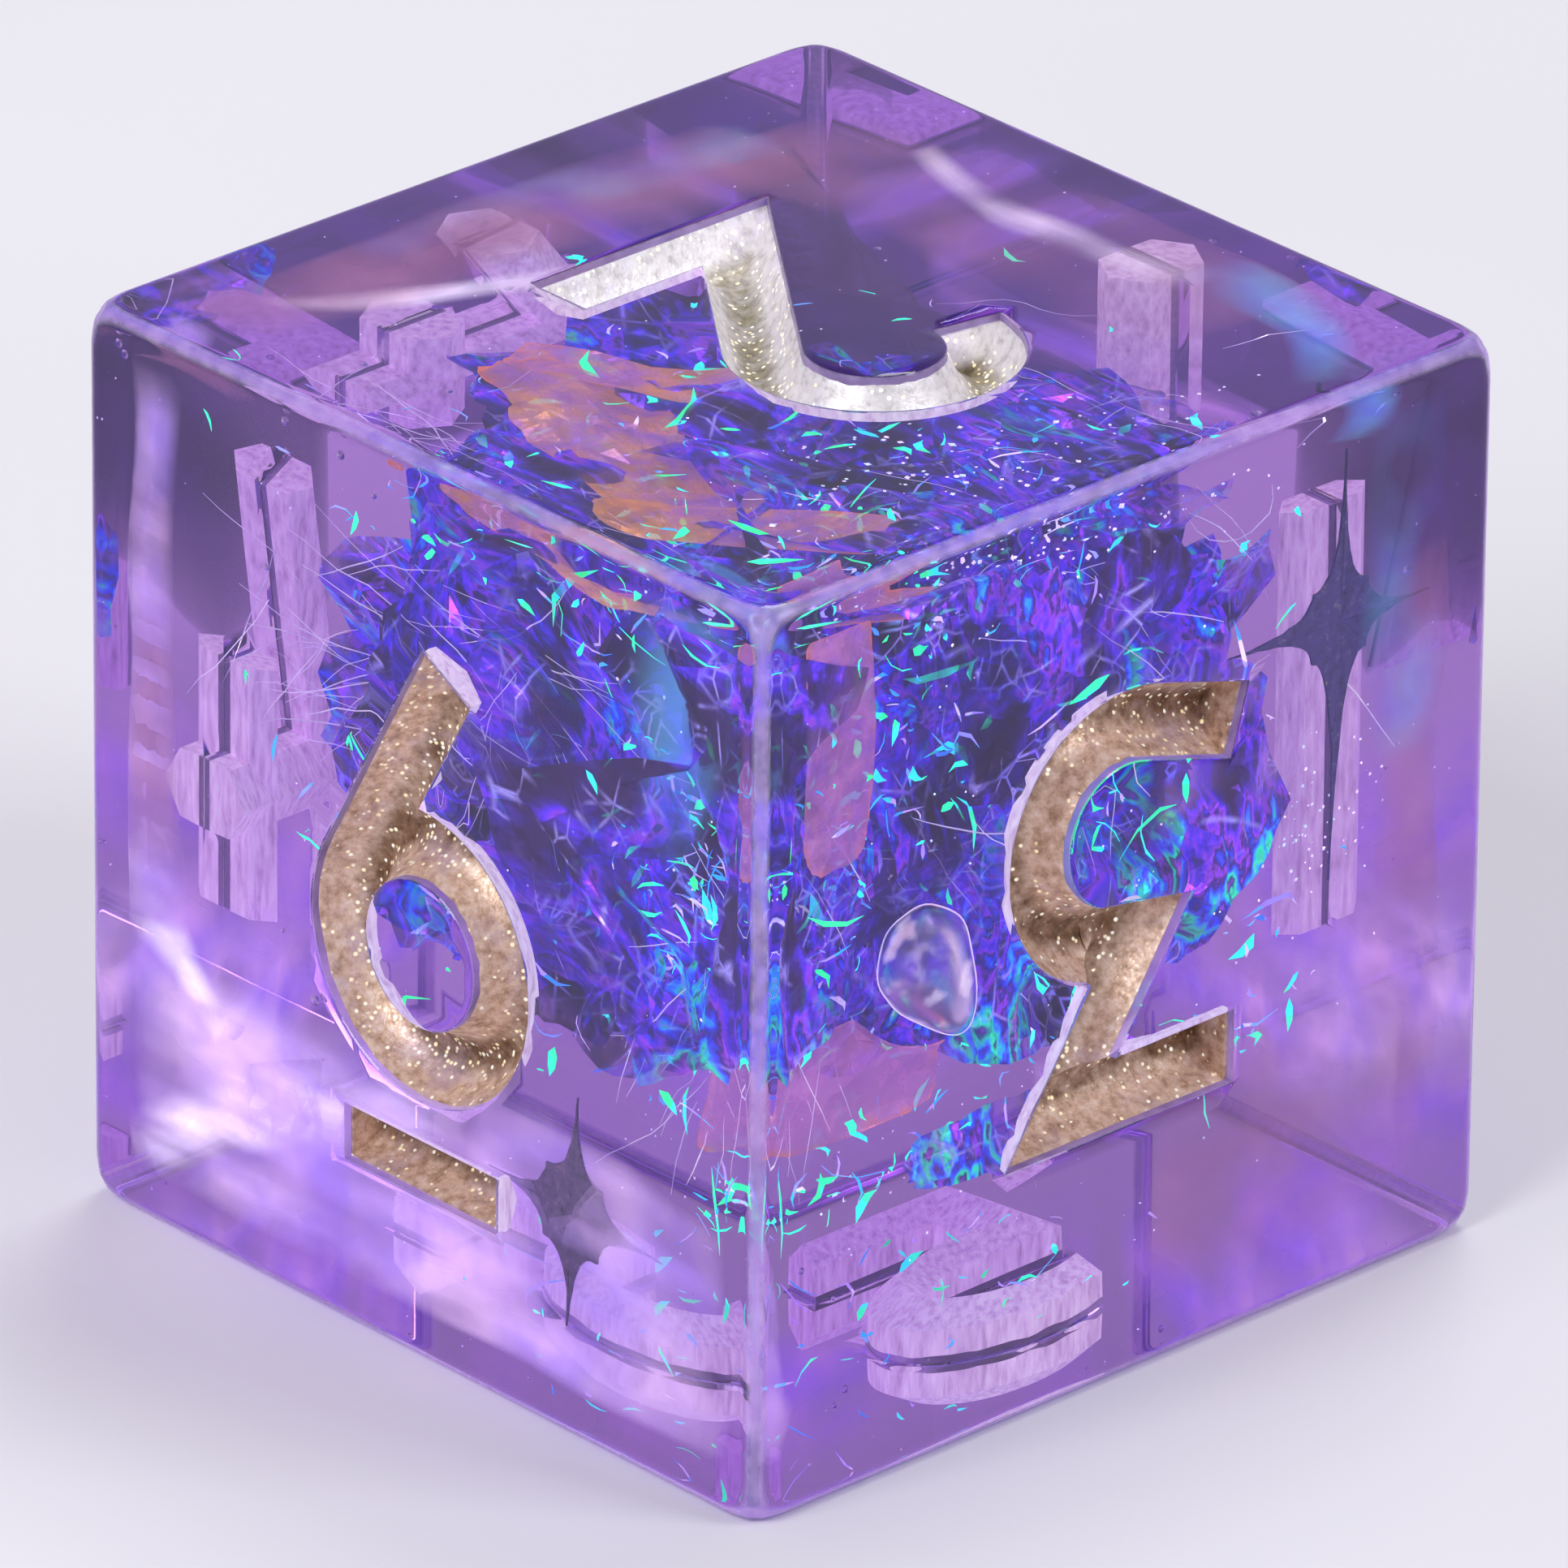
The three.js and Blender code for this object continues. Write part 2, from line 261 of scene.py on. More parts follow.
def resin_material():
    """Clear and polished on the faces, finely frosted on the rounded edges and engraved rims."""
    n = Nodes("violet_resin")
    depth = depth_below_face(n)
    worn = n.times(n.grey(depth, 0.0, 1.0, 0.004, 0.03), n.grey(depth, 1.0, 0.0, 0.16, 0.30))
    engraved = n.grey(depth, 0.0, 1.0, 0.004, 0.05)
    frost = n.times(worn, n.grey(n.noise(3.0, 4.0, 0.6), 0.25, 0.55, 0.3, 0.7))
    ripple = n.noise(0.30, 2.0)
    colour = tuple(1.0 - loss / RESIN_DENSITY_PER_MM for loss in RESIN_PER_MM)
    absorb = n.add("ShaderNodeVolumeAbsorption", {
        "Color": (*colour, 1.0), "Density": RESIN_DENSITY_PER_MM / MM,
    })
    return n.surface({
        "Base Color": n.mix(worn, (0.98, 0.96, 1.0), (0.70, 0.52, 0.96)),
        "Roughness": n.times(engraved, 0.30),
        "IOR": RESIN_IOR,
        "Transmission Weight": n.math("SUBTRACT", 1.0, frost),
        "Normal": n.bump(ripple, 0.12, 0.02),
    }, absorb.outputs[0])


def gold_material(name, slopes, valley_shade_tones, haze, painted_glow):
    """Mica ink, light on the slopes, with painted shade darkening it towards the valley, and flakes that
    shine as painted glints.
    """
    n = Nodes(name)
    depth = depth_below_face(n)
    blotch = n.noise(1.6, 5.0, 0.65)
    # painted shade: the ink turns darker with depth towards the valley, in blotches, as in a shaded recess
    valley = n.times(n.grey(depth, 0.0, 1.0, 0.64, 0.85), n.grey(blotch, 0.55, 1.0, 0.38, 0.56))
    fine = n.noise(5.0, 4.0, 0.65)
    gold = n.ramp(fine, list(zip((0.3, 0.5, 0.7), slopes)))
    gold = n.mix(n.grey(n.noise(0.9, 4.0, 0.6), 0.0, 0.5, 0.52, 0.66), gold, haze)
    valley_shade_brown = n.ramp(fine, list(zip((0.3, 0.7), valley_shade_tones)))
    # painted glints: scattered flakes, crowding towards the valley, get a bright colour and give off light,
    # as if they caught it
    pick = n.add("ShaderNodeSeparateColor", {0: n.cells(11.0)}).outputs
    size = n.grey(n.cells(11.0, "Distance"), 1.0, 0.0, 0.2, 0.5)
    crowd = n.grey(n.noise(0.9, 3.0), 0.97, 0.78, 0.42, 0.60)
    crowd = n.math("SUBTRACT", crowd, n.grey(depth, 0.0, 0.14, 0.55, 0.85))
    flake_painted_glint = n.times(n.math("GREATER_THAN", pick[0], crowd), size)
    painted_glint_colour = n.ramp(pick[1], [(0.2, (1.0, 0.86, 0.52)), (0.8, (1.0, 0.97, 0.86))])
    grain = n.noise(14.0, 3.0)
    height = n.math("ADD", n.times(grain, 0.6), n.times(pick[2], 0.4))
    return n.surface({
        "Base Color": n.mix(flake_painted_glint, n.mix(n.times(valley, 0.9), gold, valley_shade_brown), painted_glint_colour),
        "Metallic": 0.5,
        "Roughness": n.grey(grain, 0.28, 0.6, 0.3, 0.7),
        "Emission Color": painted_glint_colour,
        "Emission Strength": n.times(flake_painted_glint, painted_glow),
        "Normal": n.bump(height, 0.6, 0.02),
    })


def ink_back_material():
    """The back of the ink, pale and streaked where it grips the resin, and giving off painted light so that
    it shows bright through the resin.
    """
    n = Nodes("ink_underside_painted_light")
    streak = n.noise(1.0, 4.0, 0.6, n.stretched((7, 7, 1.5)))
    colour = n.ramp(streak, [
        (0.3, (0.56, 0.40, 0.58)), (0.5, (0.82, 0.68, 0.84)), (0.7, (1.0, 0.93, 0.98)),
    ])
    return n.surface({
        "Base Color": colour,
        "Roughness": 0.35,
        # painted light: the back of the ink gives off light
        "Emission Color": colour,
        "Emission Strength": 0.55,
        "Normal": n.bump(streak, 0.7, 0.04),
    })


FILM_COLOURS = [
    (0.00, (0.018, 0.003, 0.06)), (0.28, (0.035, 0.006, 0.13)), (0.38, (0.05, 0.012, 0.32)),
    (0.45, (0.10, 0.02, 0.86)), (0.51, (0.34, 0.05, 0.86)), (0.56, (0.035, 0.01, 0.24)),
    (0.62, (0.04, 0.06, 1.0)), (0.67, (0.01, 0.50, 0.95)), (0.72, (0.01, 0.95, 0.50)),
    (0.77, (0.03, 0.02, 0.30)), (0.86, (0.60, 0.12, 0.82)), (0.96, (1.0, 0.42, 0.50)),
]


def film_material(name, shift, alpha, turn):
    """Iridescent film: its colour runs in fine streaks, with painted highlight lines along its creases, and
    it gives off a little painted light.
    """
    n = Nodes(name)
    along = n.stretched((0.30, 1.9, 1.0), turn)
    across = n.stretched((1.5, 0.35, 0.9), (turn[1], turn[2] + 1.0, turn[0]))
    patch = n.add("ShaderNodeTexVoronoi", {"Vector": along, "Scale": 0.9}).outputs["Color"]
    patch = n.add("ShaderNodeSeparateColor", {0: patch}).outputs[0]
    streak = n.grey(n.noise(1.6, 3.0, 0.5, along), 0.0, 1.0, 0.32, 0.68)
    drift = n.grey(n.noise(0.28, 2.0, 0.5), 0.0, 1.0, 0.34, 0.66)
    facing = n.add("ShaderNodeLayerWeight", {"Blend": 0.4}).outputs["Facing"]
    value = n.math("ADD", n.times(streak, 0.30), n.times(drift, 0.38))
    value = n.math("ADD", value, n.times(patch, 0.16))
    value = n.math("ADD", value, n.times(facing, 0.12))
    value = n.math("ADD", value, shift, clamp=True)
    # painted highlights: pale lines along the creases, as if they caught the light
    creases = []
    for vector in (along, across):
        inputs = {"Vector": vector, "Scale": 0.8}
        edge = n.add("ShaderNodeTexVoronoi", inputs, feature="DISTANCE_TO_EDGE").outputs[0]
        creases.append(n.grey(edge, 1.0, 0.0, 0.0, 0.035))
    broken = n.grey(n.noise(0.9, 3.0), 0.0, 1.0, 0.48, 0.62)
    crease_highlight = n.times(n.math("MAXIMUM", *creases), broken)
    colour = n.mix(crease_highlight, n.ramp(value, FILM_COLOURS), (0.45, 0.42, 1.0))
    wrinkle = n.noise(1.4, 3.0, 0.55)
    veil = n.grey(n.noise(0.5, 3.0, 0.5), alpha - 0.5, alpha + 0.25, 0.36, 0.60)
    return n.surface({
        "Base Color": colour,
        "Metallic": 0.9,
        "Roughness": n.grey(wrinkle, 0.05, 0.25, 0.3, 0.7),
        # painted light: the film gives off light
        "Emission Color": colour,
        "Emission Strength": 0.36,
        "Alpha": n.math("MAXIMUM", veil, n.times(crease_highlight, 0.8), clamp=True),
        "Normal": n.bump(wrinkle, 0.5, 0.06),
    })


def painted_light_and_shade_veil(name, dark, light, low, high, painted_glow, stretch, firmness=1.0):
    """A sheet in the resin that paints light, and in the violet one shade: a soft cloud, clear in most
    places and thicker in streaks, that gives off some light.
    """
    n = Nodes(name)
    streak = n.noise(1.0, 2.0, 0.4, n.stretched(stretch))
    fade = n.add("ShaderNodeAttribute", attribute_name="fade").outputs["Fac"]
    fade = n.math("POWER", fade, firmness)
    thick = n.times(n.grey(streak, low, high, 0.36, 0.66), fade)
    colour = n.ramp(n.noise(0.5, 3.0), [(0.35, dark), (0.65, light)])
    return n.surface({
        "Base Color": colour,
        "Roughness": 0.5,
        "Emission Color": colour,
        "Emission Strength": painted_glow,
        "Alpha": thick,
    })


def tinted_film_material(name, colours, alpha, painted_glow):
    """Film that keeps one tint, with a warm line along its cut edge, and giving off a little painted light.
    """
    n = Nodes(name)
    drift = n.noise(0.5, 4.0, 0.6)
    wrinkle = n.noise(2.0, 4.0, 0.6)
    rim = n.math("POWER", n.add("ShaderNodeAttribute", attribute_name="rim").outputs["Fac"], 2.5)
    rim = n.times(rim, n.grey(n.noise(0.5, 3.0), 0.0, 0.85, 0.46, 0.60))
    colour = n.mix(rim, n.ramp(drift, colours), (1.0, 0.30, 0.16))
    return n.surface({
        "Base Color": colour,
        "Metallic": 0.35,
        "Roughness": 0.25,
        "Emission Color": colour,
        "Emission Strength": painted_glow,
        "Alpha": n.math("MAXIMUM", n.grey(wrinkle, alpha - 0.15, alpha + 0.2, 0.3, 0.7), rim),
        "Normal": n.bump(wrinkle, 0.6, 0.05),
    })


def star_material(name, dark, edge):
    """Dark foil, mottled, with a lighter speck here and there."""
    n = Nodes(name)
    speck = n.noise(5.0, 5.0, 0.7)
    colour = n.ramp(speck, [(0.35, dark), (0.6, tuple(1.8 * c for c in dark)), (0.72, edge)])
    return n.surface({
        "Base Color": colour,
        "Metallic": 0.7,
        "Roughness": n.grey(speck, 0.25, 0.5, 0.3, 0.7),
        "Normal": n.bump(speck, 0.6, 0.02),
    })


def painted_glint_material(name, colours, painted_glow):
    """Small bits, each with a tint of its own, that give off light: painted glints."""
    n = Nodes(name)
    tint = n.add("ShaderNodeSeparateColor", {0: n.cells(1.7)}).outputs[1]
    colour = n.ramp(tint, colours)
    return n.surface({
        "Base Color": colour,
        "Metallic": 0.4,
        "Roughness": 0.2,
        "Emission Color": colour,
        "Emission Strength": painted_glow,
    })


def painted_rim_reflection_material():
    """A sheet just inside the trapped bubble that paints its bright rim reflection: clear in the middle,
    bright and pink towards its outline.
    """
    n = Nodes("bubble_painted_rim")
    facing = n.add("ShaderNodeLayerWeight", {"Blend": 0.5}).outputs["Facing"]
    swirl = n.noise(1.1, 3.0, 0.5)
    colour = n.ramp(swirl, [(0.35, (0.75, 0.70, 1.0)), (0.5, (1.0, 0.92, 0.98)), (0.65, (1.0, 0.70, 0.75))])
    spot = n.grey(n.noise(1.5, 2.0), 0.0, 0.6, 0.56, 0.66)
    rim = n.grey(facing, 0.0, 1.0, 0.70, 0.93)
    return n.surface({
        "Base Color": colour,
        "Roughness": 0.1,
        "Emission Color": colour,
        "Emission Strength": 0.8,
        "Alpha": n.math("MAXIMUM", rim, n.times(spot, 0.5)),
        "Normal": n.bump(swirl, 0.4, 0.05),
    })


RESIN = resin_material()
GOLD = gold_material(
    "gold_ink", [(0.44, 0.28, 0.19), (0.80, 0.58, 0.45), (1.0, 0.84, 0.74)],
    [(0.075, 0.028, 0.008), (0.26, 0.12, 0.04)], (0.56, 0.42, 0.60), 0.45,
)
# painted light: a paler, more silvery copy of the gold for the numeral on the top face, as if lit from
# above
TOP_LIT_GOLD = gold_material(
    "gold_ink_painted_top_light", [(0.62, 0.58, 0.58), (0.90, 0.87, 0.88), (1.0, 0.98, 1.0)],
    [(0.20, 0.16, 0.07), (0.50, 0.43, 0.26)], (0.80, 0.76, 0.98), 0.9,
)
INK_BACK = ink_back_material()

# ---- resin block ------------------------------------------

EDGE_ROUND = 0.28
CORNER_ROUND = 0.48
CORNER_REACH = 0.8
GRID_COUNT = 72
GRID_CROWDING = 2.6


def smoothstep(x, low, high):
    t = min(max((x - low) / (high - low), 0.0), 1.0)
    return t * t * (3 - 2 * t)


def on_block(p):
    """A point of the sharp cube, moved to the rounded block."""
    near_corner = smoothstep(min(abs(c) for c in p), HALF - CORNER_REACH, HALF)
    radius = EDGE_ROUND + (CORNER_ROUND - EDGE_ROUND) * near_corner
    core = Vector([max(radius - HALF, min(HALF - radius, c)) for c in p])
    return core + (Vector(p) - core).normalized() * radius


def grid_places(count, crowding):
    """Places from -HALF to HALF that gather towards both ends."""
    places = []
    for i in range(count + 1):
        t = 2 * i / count - 1
        places.append(math.copysign(HALF * (1 - (1 - abs(t)) ** crowding), t))
    return places


def resin_block():
    """Six grids of faces, fine near the edges and coarse in the middle, sharing their rims."""
    places = grid_places(GRID_COUNT, GRID_CROWDING)
    index, verts, faces = {}, [], []

    def vertex(p):
        key = tuple(round(c, 6) for c in p)
        if key not in index:
            index[key] = len(verts)
            moved = on_block(p)
            verts.append((moved.x, moved.y, moved.z + HALF))
        return index[key]

    for axis in range(3):
        u, v = (axis + 1) % 3, (axis + 2) % 3
        for side in (-1, 1):
            for a0, a1 in zip(places, places[1:]):
                for b0, b1 in zip(places, places[1:]):
                    corners = []
                    for a, b in ((a0, b0), (a1, b0), (a1, b1), (a0, b1)):
                        p = [0.0, 0.0, 0.0]
                        p[axis], p[u], p[v] = side * HALF, a, b
                        corners.append(vertex(p))
                    faces.append(corners if side > 0 else corners[::-1])
    return new_piece("resin_block", verts, faces, [RESIN], smooth=True)


# ---- engraved strokes -------------------------------------

STROKE = 1.28
WALL_DEPTH = 0.6
VALLEY_DEPTH = 0.95
WALL_DRAFT = 0.04
RIM_CHAMFER = 0.025
OVERCUT = 0.4
INK_SINK = 0.015          # the ink reaches this far into the resin wall, so that they meet with no gap
INK_COAT = 0.05
BED_FLARE = 0.02          # the bed follows the leaning wall outward
SMOOTH_UP_TO = 38         # degrees between two faces of the ink that still shade as one
INK_TOP = -0.15           # the un-inked rim of the engraving is this high
GOLD_SIDE = 0.3           # a face of the ink that leans outward more than this shows gold


def arc(cx, cy, radius, start, end, step=4.0):
    count = math.ceil(abs(end - start) / step)
    angles = [math.radians(start + (end - start) * i / count) for i in range(count + 1)]
    return [(cx + radius * math.cos(a), cy + radius * math.sin(a)) for a in angles]


NUMERALS = {
    1: [dict(path=[(0, 3.75), (0, -3.8)])],
    2: [dict(path=arc(-0.2, 1.75, 1.8, 172, -37) + [(-1.6, -3.05), (2.25, -3.05)])],
    3: [
        dict(path=[(-2.4, 2.85), (1.4, 2.85), (-0.35, 0.24), (0.95, 0.02)]),
        dict(path=arc(0.05, -1.7, 1.9, 86, -107) + [(-2.4, -2.95)]),
    ],
    4: [
        dict(path=[(-0.7, 3.75), (-2.15, -1.6), (2.5, -1.6)]),
        dict(path=[(0.95, 0.7), (0.95, -3.8)]),
    ],
    5: [
        dict(path=[(1.9, 3.05), (-1.25, 3.05), (-1.5, 0.12), (0.35, 0.12)]),
        dict(path=arc(-0.1, -1.75, 1.9, 100, -125)),
    ],
    6: [
        dict(path=[(0.67, 4.33)] + arc(0.05, -0.75, 1.93, 151, 190)),
        dict(path=arc(0.05, -0.75, 1.93, 0, 356), closed=True),
    ],
}
UNDERLINE = [dict(path=[(-1.75, -4.55), (1.9, -4.55)], width=1.0)]
TOP_LIT_NUMERAL = 2          # its gold is painted paler and more silvery than the others, as if lit from above: painted light

X, Y, Z = Vector((1, 0, 0)), Vector((0, 1, 0)), Vector((0, 0, 1))
FACES = {1: (-X, Z), 2: (-Y, X), 3: (-Y, -Z), 4: (-Y, Z), 5: (-Y, -X), 6: (X, Z)}


def face_matrix(number):
    """From the glyph plane (right, up, out), in millimetres, to the die."""
    right, up = FACES[number]
    out = right.cross(up)
    matrix = Matrix((right, up, out)).transposed().to_4x4()
    matrix.translation = out * HALF + Vector((0, 0, HALF))
    return matrix


def mitred(path, i, closed):
    """The sideways vector at point i, lengthened at a bend so that the stroke keeps its width."""
    last = len(path) - 1
    here = Vector(path[i])
    into = here - Vector(path[i - 1]) if i > 0 or closed else None
    out = Vector(path[(i + 1) % (last + 1)]) - here if i < last or closed else None
    into, out = into or out, out or into
    left_in = Vector((-into.y, into.x)).normalized()
    left_out = Vector((-out.y, out.x)).normalized()
    middle = (left_in + left_out).normalized()
    return middle / middle.dot(left_in)


def lengthened(path, extra):
    """The path with both ends moved outward by extra, or inward where it is negative."""
    first, second, before, last = (Vector(path[i]) for i in (0, 1, -2, -1))
    start = first + (first - second).normalized() * extra
    end = last + (last - before).normalized() * extra
    return [tuple(start)] + list(path[1:-1]) + [tuple(end)]


def sweep(name, path, section, matrix, materials, closed=False):
    """section(place) gives the (across, out) points at each point along the path."""
    verts, faces = [], []
    size = 0
    for i, point in enumerate(path):
        side = mitred(path, i, closed)
        ring = section(point)
        size = len(ring)
        for across, out in ring:
            verts.append(matrix @ Vector((point[0] + side.x * across, point[1] + side.y * across, out)))
    rings = len(path)
    for i in range(rings if closed else rings - 1):
        a, b = i * size, ((i + 1) % rings) * size
        for j in range(size):
            k = (j + 1) % size
            faces.append((a + j, a + k, b + k, b + j))
    if not closed:
        faces.append(tuple(range(size))[::-1])
        faces.append(tuple(range((rings - 1) * size, rings * size)))
    return new_piece(name, verts, faces, materials)


def groove_section(width):
    """The engraving: a tiny rim chamfer, steep walls and a V floor."""
    half = width / 2
    ring = [
        (-half - RIM_CHAMFER, OVERCUT), (-half - RIM_CHAMFER, 0.0), (-half, -RIM_CHAMFER),
        (-half + WALL_DRAFT, -WALL_DEPTH), (0, -VALLEY_DEPTH), (half - WALL_DRAFT, -WALL_DEPTH),
        (half, -RIM_CHAMFER), (half + RIM_CHAMFER, 0.0), (half + RIM_CHAMFER, OVERCUT),
    ]
    return lambda point: ring


def ragged_rim(point, width):
    """The ink's rim wanders up and down this much along a stroke."""
    return 0.05 * noise.noise(Vector((point[0] * 3, point[1] * 3, width)))


def bed_section(width):
    half = width / 2 - WALL_DRAFT + INK_SINK

    def ring(point):
        top = INK_TOP + ragged_rim(point, width)
        return [
            (-half - BED_FLARE, top), (-half, -WALL_DEPTH), (0, -VALLEY_DEPTH - INK_SINK),
            (half, -WALL_DEPTH), (half + BED_FLARE, top),
        ]
    return ring


# the hollow of the ink: (share of the half width, depth), out to a feather edge on the wall
HOLLOW = [
    (1.16, -0.12), (1.0, -0.30), (0.85, -0.50), (0.66, -0.66), (0.44, -0.78), (0.2, -0.86), (0.0, -0.89),
]


def open_section(width):
    half = width / 2 - WALL_DRAFT - INK_COAT

    def ring(point):
        ragged = ragged_rim(point, width)
        left = [(-half * share, depth + ragged * (share > 1)) for share, depth in HOLLOW]
        right = [(-across, depth) for across, depth in left[-2::-1]]
        return [(left[0][0], OVERCUT)] + left + right + [(right[-1][0], OVERCUT)]
    return ring


def strokes_solid(name, strokes, make_section, matrix, extra, materials):
    """The strokes of one numeral as one solid, each open stroke lengthened by extra."""
    whole = None
    for stroke in strokes:
        closed = stroke.get("closed", False)
        path = stroke["path"] if closed else lengthened(stroke["path"], extra)
        section = make_section(stroke.get("width", STROKE))
        solid = sweep(name, path, section, matrix, materials, closed)
        whole = boolean(whole, solid, "UNION") if whole else solid
    return whole


def ink_piece(node, strokes, matrix, gold):
    """A thin coat on the floor and walls of the engraving; its back shows through the resin."""
    bed = strokes_solid(f"{node}_coat", strokes, bed_section, matrix, INK_SINK, [INK_BACK])
    opening = strokes_solid("opening", strokes, open_section, matrix, -INK_COAT, [gold])
    ink = without_slivers(boolean(bed, opening, "DIFFERENCE"))
    out = matrix.to_3x3() @ Z
    for face in ink.data.polygons:
        if face.normal.dot(out) > GOLD_SIDE:
            face.material_index = list(ink.data.materials).index(gold)
    ink.data.shade_smooth()
    ink.data.set_sharp_from_angle(angle=math.radians(SMOOTH_UP_TO))
    return finish_piece(ink, "gold_ink", node)


def bubble(centre, radius, tail=(0, 0, 0)):
    """A void in the resin: a ball drawn out towards its tail."""
    bm = bmesh.new()
    bmesh.ops.create_icosphere(bm, subdivisions=4 if radius > 0.3 else 2, radius=1.0)
    pull = Vector(tail)
    for vert in bm.verts:
        away = vert.co.normalized()
        drawn = max(0.0, away.dot(pull.normalized())) ** 3 if pull.length else 0.0
        lump = 1.0 + 0.06 * noise.noise(away * 1.5 + Vector(centre))
        vert.co = Vector(centre) + away * radius * lump + pull * drawn
    verts = [tuple(vert.co) for vert in bm.verts]
    faces = [[vert.index for vert in face.verts] for face in bm.faces]
    bm.free()
    return new_piece("bubble", verts, faces, [RESIN], smooth=True)


AIR_BUBBLE = Vector((6.45, -3.75, 8.45))
MICRO_BUBBLES = 34
MICRO_REACH = 6.2         # how far from the centre a micro-bubble may lie, along each axis
BUBBLES = [(AIR_BUBBLE, 0.88, (0.05, 0.45, -0.75))]
bubble_rng = random.Random(4)
for _ in range(MICRO_BUBBLES):
    spot = [bubble_rng.uniform(-MICRO_REACH, MICRO_REACH) for _ in range(3)]
    BUBBLES.append(((spot[0], spot[1], spot[2] + HALF), bubble_rng.uniform(0.03, 0.10)))

# painted reflection: a light-giving sheet just inside the bubble's void stands for the bright ring the void
# reflects
BUBBLE_PAINTED_RIM = painted_rim_reflection_material()
painted_rim = bubble(AIR_BUBBLE, 0.91, (0.05, 0.46, -0.77))
painted_rim.name = painted_rim.data.name = "air_bubble_painted_rim"
painted_rim.data.materials[0] = BUBBLE_PAINTED_RIM
finish_piece(painted_rim, "iridescent_film")

resin = resin_block()
for values in BUBBLES:
    boolean(resin, bubble(*values), "DIFFERENCE")


def engrave(node, number, strokes, gold):
    place = face_matrix(number)
    groove = strokes_solid("groove", strokes, groove_section, place, 0.0, [RESIN])
    boolean(resin, groove, "DIFFERENCE")
    ink_piece(node, strokes, place, gold)


for number, strokes in NUMERALS.items():
    engrave(f"numeral_{number}_ink", number, strokes, TOP_LIT_GOLD if number == TOP_LIT_NUMERAL else GOLD)
engrave("underline_6_ink", 6, UNDERLINE, GOLD)
finish_piece(without_slivers(resin), "resin", "resin_lower_pour", "resin_upper_pour")

# ---- film -------------------------------------------------

INNER = HALF - 1.15       # the film keeps inside this, clear of the engraving
EASE = 0.6                # it bends back over this last stretch
FILM_THICKNESS = 0.015
BUBBLE_CLEAR = 1.45
rng = random.Random(20)


def triangle_wave(t):
    return 2 * abs(2 * (t - math.floor(t + 0.5))) - 1


def kept_inside(p):
    """Eases a point back towards the inner cube, so that nothing reaches the engraving."""
    def ease(c):
        past = abs(c) - (INNER - EASE)
        return c if past < 0 else math.copysign(INNER - EASE + EASE * math.tanh(past / EASE), c)
    eased = Vector((ease(p[0]), ease(p[1]), ease(p[2] - HALF) + HALF))
    away = eased - AIR_BUBBLE
    if away.length < BUBBLE_CLEAR:
        eased = AIR_BUBBLE + away.normalized() * (BUBBLE_CLEAR + 0.1 * away.length)
    return eased


def torn_outline(size, seed, tear, count=64):
    """An uneven outline of a torn scrap, size[0] wide and size[1] high."""
    outline = []
    for k in range(count):
        a = math.tau * k / count
        reach = 0.5 + 0.14 * tear * noise.noise(Vector((math.cos(a) * 1.6, math.sin(a) * 1.6, seed)))
        reach += 0.05 * tear * noise.noise(Vector((math.cos(a) * 7, math.sin(a) * 7, seed)))
        square = [math.copysign(abs(c) ** (0.2 + 0.5 * tear), c) for c in (math.cos(a), math.sin(a))]
        outline.append(Vector((size[0] * reach * square[0], size[1] * reach * square[1])))
    return outline


def crumpled_sheet(name, centre, heading, tilt, size, material, folds, depth, tear, step=0.34):
    """A torn scrap with straight creases running across it at many angles, thin and closed."""
    creases = []
    for _ in range(folds):
        angle, wave = rng.uniform(0, math.tau), rng.uniform(1.3, 6.0)
        phase = rng.random()
        height = depth * wave / 5 * rng.uniform(0.5, 1.2)
        creases.append((math.cos(angle) / wave, math.sin(angle) / wave, phase, height))
    outline = torn_outline(size, rng.random() * 100, tear)
    flat = list(outline)
    for i in range(round(size[0] / step) + 1):
        for j in range(round(size[1] / step) + 1):
            jitter = Vector((rng.uniform(-0.4, 0.4), rng.uniform(-0.4, 0.4)))
            flat.append(Vector(((i + jitter.x) * step - size[0] / 2, (j + jitter.y) * step - size[1] / 2)))
    flat, _, faces, *_ = delaunay_2d_cdt(flat, [], [list(range(len(outline)))], 1, 1e-5)
    turn = Matrix.Rotation(math.radians(heading), 3, "Z") @ Matrix.Rotation(math.radians(tilt), 3, "X")
    verts = []
    for u, v in flat:
        w = sum(a * triangle_wave(cu * u + cv * v + phase) for cu, cv, phase, a in creases)
        verts.append(kept_inside(turn @ Vector((u, w, v)) + Vector(centre)))
    piece = new_piece(name, verts, faces, [material])
    rim = piece.data.attributes.new("rim", "FLOAT", "POINT")
    rim.data.foreach_set("value", [float(i < len(outline)) for i in range(len(verts))])
    thickness = piece.modifiers.new("thickness", "SOLIDIFY")
    thickness.thickness = FILM_THICKNESS * MM
    return applied(piece)


FILM_DEEP = film_material("film_indigo", -0.05, 0.80, (0.6, 0.4, 0.9))
FILM_BRIGHT = film_material("film_cyan", 0.07, 0.60, (0.2, 1.1, 0.4))
FILM_VIOLET = film_material("film_violet", 0.0, 0.65, (1.2, 0.1, 1.7))
FILM_AMBER = tinted_film_material("film_amber", [
    (0.3, (0.62, 0.26, 0.26)), (0.45, (1.0, 0.50, 0.18)),
    (0.55, (0.62, 0.26, 0.62)), (0.7, (0.92, 0.42, 0.20)),
], 0.5, 0.22)
FILM_MAUVE = tinted_film_material("film_mauve", [
    (0.3, (0.50, 0.16, 0.58)), (0.6, (0.74, 0.30, 0.72)), (0.72, (0.98, 0.36, 0.34)),
], 0.5, 0.22)

